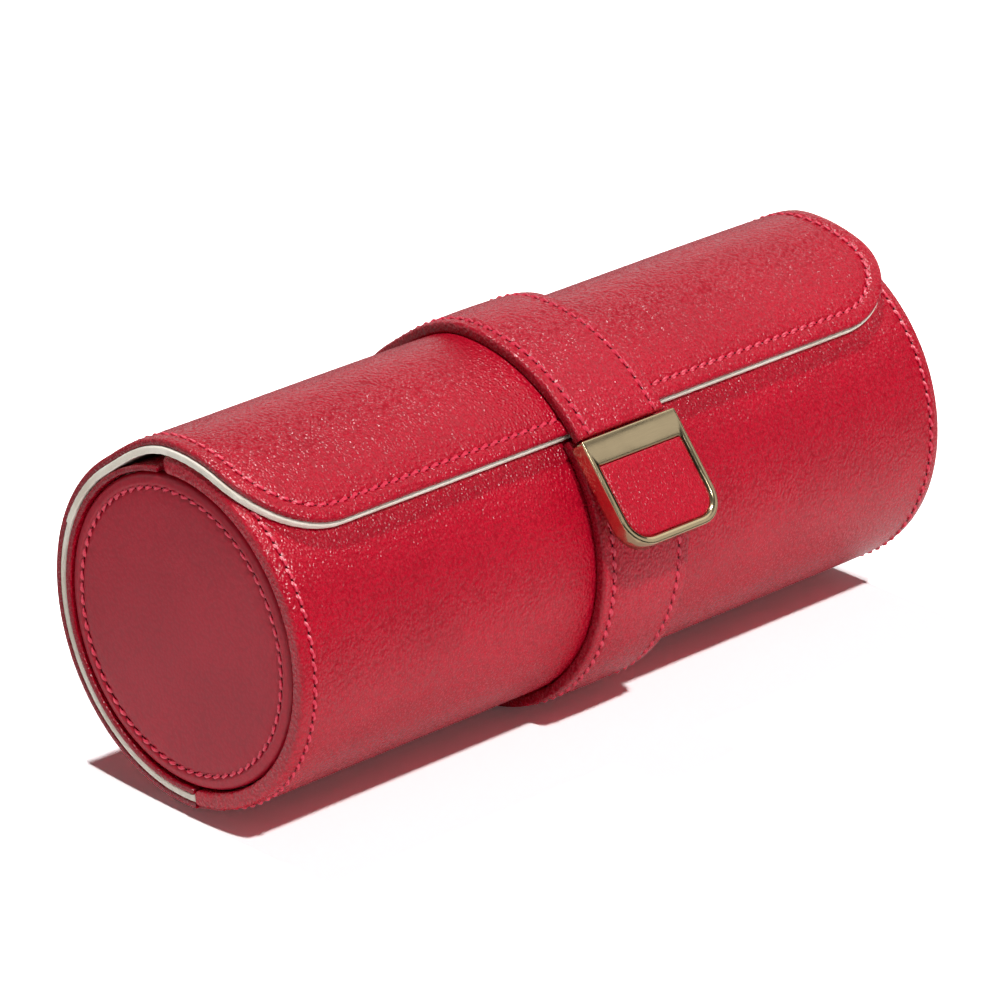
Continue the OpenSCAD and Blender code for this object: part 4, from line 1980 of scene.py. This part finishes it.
    def panels(self, place: str) -> None:
        """Builds the two stiff end panels of one cuff."""
        low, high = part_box(f"cuff_panels_{place}")
        body_low, body_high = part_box(f"cuff_{place}")
        thickness = body_low.x - low.x - 0.05 * MM
        outline = self.cuff_outline(body_low, body_high, 1.5 * MM)
        middle = ((low.y + high.y) / 2, 0.0)
        for hand, at in ((-1, body_low.x - 0.05 * MM), (1, body_high.x + 0.05 * MM)):
            name = f"cuff_panel_{place}_{'inner' if hand > 0 else 'outer'}"
            piece = Plate(
                name, outline, thickness - 0.2 * MM, 0.6 * MM, 0.15 * MM, self.lifted(at, hand),
                rings=6, middle=middle
            ).build()
            if hand < 0:
                piece.data.flip_normals()
            fit(piece, CUFF_FINISH, Slot.CUFF_SUEDE, Body.TRAY, f"cuff_panels_{place}")


# ---- Clasp ----


@dataclass
class Clasp:
    """The metal box on the strap's end, with a leather inlay in its face.

    Attributes:
        tube: The tube.
        width: Width of the box.
        height: Height of the box.
        depth: Depth from face to back.
        back: Distance of its back from the tube's axis.
        tilt: Angle of its face round the tube.
        corner: Radius of its lower corners.
        bar: Height of the bar above the inlay.
        rim: Width of the frame beside and below the inlay.
        inlay: Depth of the recess that holds the inlay.
        wall: Wall of the box.
        bevel: Radius of its polished edges.
    """

    tube: Round
    width: float = 29 * MM
    height: float = 27 * MM
    depth: float = 4.4 * MM
    back: float = 44.55 * MM
    tilt: float = 40.0
    corner: float = 7 * MM
    bar: float = 6.4 * MM
    rim: float = 1.9 * MM
    inlay: float = 1.2 * MM
    wall: float = 1.33 * MM
    bevel: float = 0.4 * MM

    def lift(self, flat: Array, depth: Array) -> Array:
        """Puts points of the clasp's plane, at a distance from the axis, on the case."""
        turn = math.radians(self.tilt)
        up, out = flat[:, 1], depth
        return np.stack(
            [
                flat[:, 0], -out * math.cos(turn) + up * math.sin(turn),
                self.tube.axis_height + out * math.sin(turn) + up * math.cos(turn)
            ],
            1
        )

    def outer(self, inset: float) -> Array:
        """Outline of the box, drawn in by an inset."""
        return tab_outline(
            self.width - 2 * inset, self.height - 2 * inset, self.corner - inset,
            max(0.7 * MM - inset, 0.15 * MM), -inset
        )

    def window(self, grow: float) -> Array:
        """Outline of the recess, let out by some amount."""
        return tab_outline(
            self.width - 2 * self.rim + 2 * grow, self.height - self.bar - self.rim + 2 * grow,
            self.corner - self.rim + grow, 0.5 * MM + grow, -self.bar + grow
        )

    def cavity(self) -> Array:
        """Outline of the hollow behind the face."""
        return tab_outline(
            self.width - 2 * self.wall, self.height - 2 * self.wall, self.corner - self.wall,
            0.4 * MM, -self.wall
        )

    def box(self) -> Piece:
        """Builds the polished box with its recess and its hollow back."""
        b, lip = self.bevel, 0.5 * MM
        face = self.back + self.depth
        turns = [math.pi / 2 * k / 5 for k in range(6)]
        floor = self.back + self.depth - self.inlay - 0.8 * MM
        loops: list[tuple[Array, float]] = [(self.outer(0.25 * MM), self.back)]
        loops.append((self.outer(0), self.back + 0.25 * MM))
        loops += [(self.outer(b * (1 - math.cos(t))), face - b + b * math.sin(t)) for t in turns]
        loops += [
            (self.window(lip), face), (self.window(lip * 0.8), face - 0.06 * MM),
            (self.window(lip * 0.1), face - lip * 0.9), (self.window(0), face - lip)
        ]
        loops.append((self.window(0), floor))
        loops.append((self.cavity(), floor))
        loops.append((self.cavity(), self.back))
        count = len(loops[0][0])
        flat = np.concatenate([outline for outline, _ in loops])
        depth = np.concatenate([np.full(count, level) for _, level in loops])
        index = np.arange(len(loops) * count).reshape(len(loops), count)
        faces = stack_faces([*index, index[0]])
        return finish_mesh("clasp_box", self.lift(flat, depth), faces)

    def build(self) -> None:
        """Builds the box and its inlay."""
        fit(self.box(), GOLD, Slot.GOLD_METAL, Body.CLASP, "clasp_frame")
        face = self.back + self.depth
        recess = 0.32 * MM
        plate = Plate(
            "clasp_inlay_leather", self.window(-0.12 * MM), self.inlay - recess, 0.42 * MM,
            0.12 * MM, lambda flat, depth: self.lift(flat, face - self.inlay + depth), rings=10
        )
        fit(plate.build(), INLAY_FINISH, Slot.INLAY_LEATHER, Body.CLASP, "clasp_inlay")


# ---- Studio ----


@dataclass
class Studio:
    """White sweep, two suns, a soft box, a low fill, a glowing card, black net and the camera.

    Attributes:
        tube: The tube, whose axis the camera and the lamps look at.
        azimuth: Camera's direction round the case.
        elevation: Camera's height above the horizon, in degrees.
        distance: From the tube's middle to the camera.
        aside: How far the camera is moved to its right.
        raised: How far the camera is moved up its own frame.
        lens: Focal length in millimetres on a 36 mm sensor.
        ambient: Levels of the surround as light, at the horizon and overhead.
        mirrored: Levels of the surround in reflections, at the horizon and overhead.
        darkens: Heights on a sphere of radius 1 between which the surround goes over.
    """

    tube: Round
    azimuth: float = -43.8226
    elevation: float = 23.5172
    distance: float = 1408.4 * MM
    aside: float = -2.31 * MM
    raised: float = 1.29 * MM
    lens: float = 223.3
    ambient: tuple[float, float] = (0.12, 0.05)
    mirrored: tuple[float, float] = (1.0, 0.1)
    darkens: tuple[float, float] = (0.28, 0.45)

    def camera(self) -> None:
        """Sets up the camera at the photograph's angle."""
        a, e = math.radians(self.azimuth), math.radians(self.elevation)
        back = Vector((math.sin(a) * math.cos(e), -math.cos(a) * math.cos(e), math.sin(e)))
        right = Vector((math.cos(a), math.sin(a), 0))
        up = back.cross(right)
        place = Vector((0, 0, self.tube.axis_height))
        place += back * self.distance + right * self.aside + up * self.raised
        data = bpy.data.cameras.new("camera")
        data.lens = self.lens
        data.sensor_width = 36
        data.clip_start, data.clip_end = 0.1, 50
        camera = add_object("camera", data)
        frame = Matrix((right, up, back)).transposed().to_4x4()
        camera.matrix_world = Matrix.Translation(place) @ frame
        bpy.context.scene.camera = camera

    def floor(self) -> None:
        """Lays the white floor."""
        size = 6.0
        points = np.array([(-size, -size, 0), (size, -size, 0), (size, size, 0), (-size, size, 0)])
        floor = finish_mesh("floor", points - np.array([0, 0, 0.02 * MM]), [(0, 1, 2, 3)])
        floor.data.materials.append(Sweep("white_sweep").material())

    def dark_cloth(self) -> None:
        """Hangs black net round the camera's side, hidden from the camera and casting no shadow."""
        radius, height = 2.2, 1.9
        turns = np.radians(np.linspace(-80, 84, 24))
        low = np.stack([radius * np.sin(turns), -radius * np.cos(turns), 0 * turns + 0.12], 1)
        points = np.concatenate([low, low + np.array([0, 0, height])])
        count = len(turns)
        faces = [(k + 1, k, count + k, count + k + 1) for k in range(count - 1)]
        cloth = finish_mesh("dark_cloth", points, faces)
        cloth.data.materials.append(DarkRoom("black_cloth").material())
        cloth.visible_camera = False
        cloth.visible_shadow = False

    def gold_card(self) -> None:
        """Holds a small glowing white card, painted light, where the clasp's face mirrors it."""
        clasp_low, clasp_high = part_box("clasp_frame")
        middle = np.array((clasp_low + clasp_high) / 2)
        toward = np.array([0.65, -0.60, 0.45])
        side = np.cross([0, 0, 1.0], toward)
        side /= np.linalg.norm(side)
        top = np.cross(toward, side)
        reach, half = 0.45, 0.095
        corners = [(-1, -1), (1, -1), (1, 1), (-1, 1)]
        points = np.array(
            [middle + reach * toward + half * (a * side + b * top) for a, b in corners]
        )
        card = finish_mesh("gold_card", points, [(0, 1, 2, 3)])
        # The card glows by itself: painted light for the clasp's face.
        card.data.materials.append(GlowingCard("glowing_white_card").material())
        card.visible_camera = card.visible_shadow = card.visible_diffuse = False

    def lamp(
        self, name: str, kind: str, away: tuple[float, float, float], diffuse: bool = True,
        glossy: bool = True, **values: object
    ) -> None:
        """Adds a lamp that looks at the tube's middle.

        Args:
            name: Name of the lamp.
            kind: Blender's name of its kind.
            away: Where it stands, from the tube's middle.
            diffuse: Whether it lights diffuse surfaces.
            glossy: Whether it shows in reflections.
            **values: Its strength and size.
        """
        data = bpy.data.lights.new(name, kind)
        for key, value in values.items():
            setattr(data, key, value)
        aim = Vector((0, 0, self.tube.axis_height))
        place = aim + Vector(away)
        lamp = add_object(name, data)
        lamp.visible_diffuse, lamp.visible_glossy = diffuse, glossy
        turn = (place - aim).to_track_quat("Z", "Y").to_matrix().to_4x4()
        lamp.matrix_world = Matrix.Translation(place) @ turn

    def world(self) -> None:
        """Sets a white surround that darkens overhead, all white to the camera."""
        world = bpy.data.worlds.new("surround")
        world.use_nodes = True
        tree = world.node_tree
        tree.nodes.clear()
        add = partial(add_node, tree)
        ray = add("ShaderNodeLightPath", out=None).outputs
        toward = add("ShaderNodeTexCoord", out="Generated")
        rise = add("ShaderNodeSeparateXYZ", {0: toward}, out="Z")
        levels = []
        for low, high in (self.ambient, self.mirrored):
            span = {
                "From Min": self.darkens[0], "From Max": self.darkens[1], "To Min": low,
                "To Max": high
            }
            levels.append(add("ShaderNodeMapRange", {"Value": rise, **span}))
        mirrored = add(
            "ShaderNodeMapRange",
            {"Value": ray["Is Glossy Ray"], "To Min": levels[0], "To Max": levels[1]}
        )
        level = add("ShaderNodeMath", {0: ray["Is Camera Ray"], 1: mirrored}, operation="MAXIMUM")
        light = add("ShaderNodeBackground", {"Color": linear("#FFFFFF"), "Strength": level})
        add("ShaderNodeOutputWorld", {"Surface": light}, out=None)
        bpy.context.scene.world = world

    def build(self) -> None:
        """Builds the whole studio."""
        self.camera()
        self.floor()
        self.dark_cloth()
        self.gold_card()
        self.world()
        self.lamp("key_sun", "SUN", (-0.14, -0.70, 1.0), energy=2.1, angle=math.radians(3))
        self.lamp("back_sun", "SUN", (0.0, 0.165, 1.0), energy=2.15, angle=math.radians(4))
        box = {"shape": "RECTANGLE", "size": 1.1, "size_y": 0.8}
        self.lamp("soft_box", "AREA", (1.05, -0.16, 1.33), diffuse=False, energy=2.4, **box)
        fill = {"shape": "RECTANGLE", "size": 1.4, "size_y": 0.5}
        self.lamp("front_fill", "AREA", (0.18, -2.0, 0.1), glossy=False, energy=11.0, **fill)
        bpy.context.scene.view_settings.view_transform = "Standard"


def main() -> None:
    """Builds the case piece by piece on its frame."""
    logging.basicConfig(level=logging.INFO, format="%(message)s")
    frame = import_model()
    tube = Round.from_frame()
    LOG.info("frame: %d nodes, axis at %.4f m", len(frame["nodes"]), tube.axis_height)
    shapes = StitchShapes.of(StitchPattern())
    Studio(tube).build()
    wrap = Wrap(tube, half_width=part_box("wrap_top_leather")[1].x)
    wrap.build(shapes)
    Strap(tube, wrap).build(shapes)
    Shells(tube).build(shapes)
    Inside(tube).build()
    Clasp(tube).build()
    shapes.put_away()
    shown = {"clasp_tongue": STRAP_FINISH, "clasp_back_plate": GOLD}
    steel = ("clasp_rivets", "clasp_magnet", "strike_boss", "strike_disc", "strike_rivet")
    for name, finish in (shown | dict.fromkeys(steel, STEEL)).items():
        node = frame["nodes"][name]
        node.data.materials.clear()
        node.data.materials.append(finish.material())


if __name__ == "__main__":
    main()
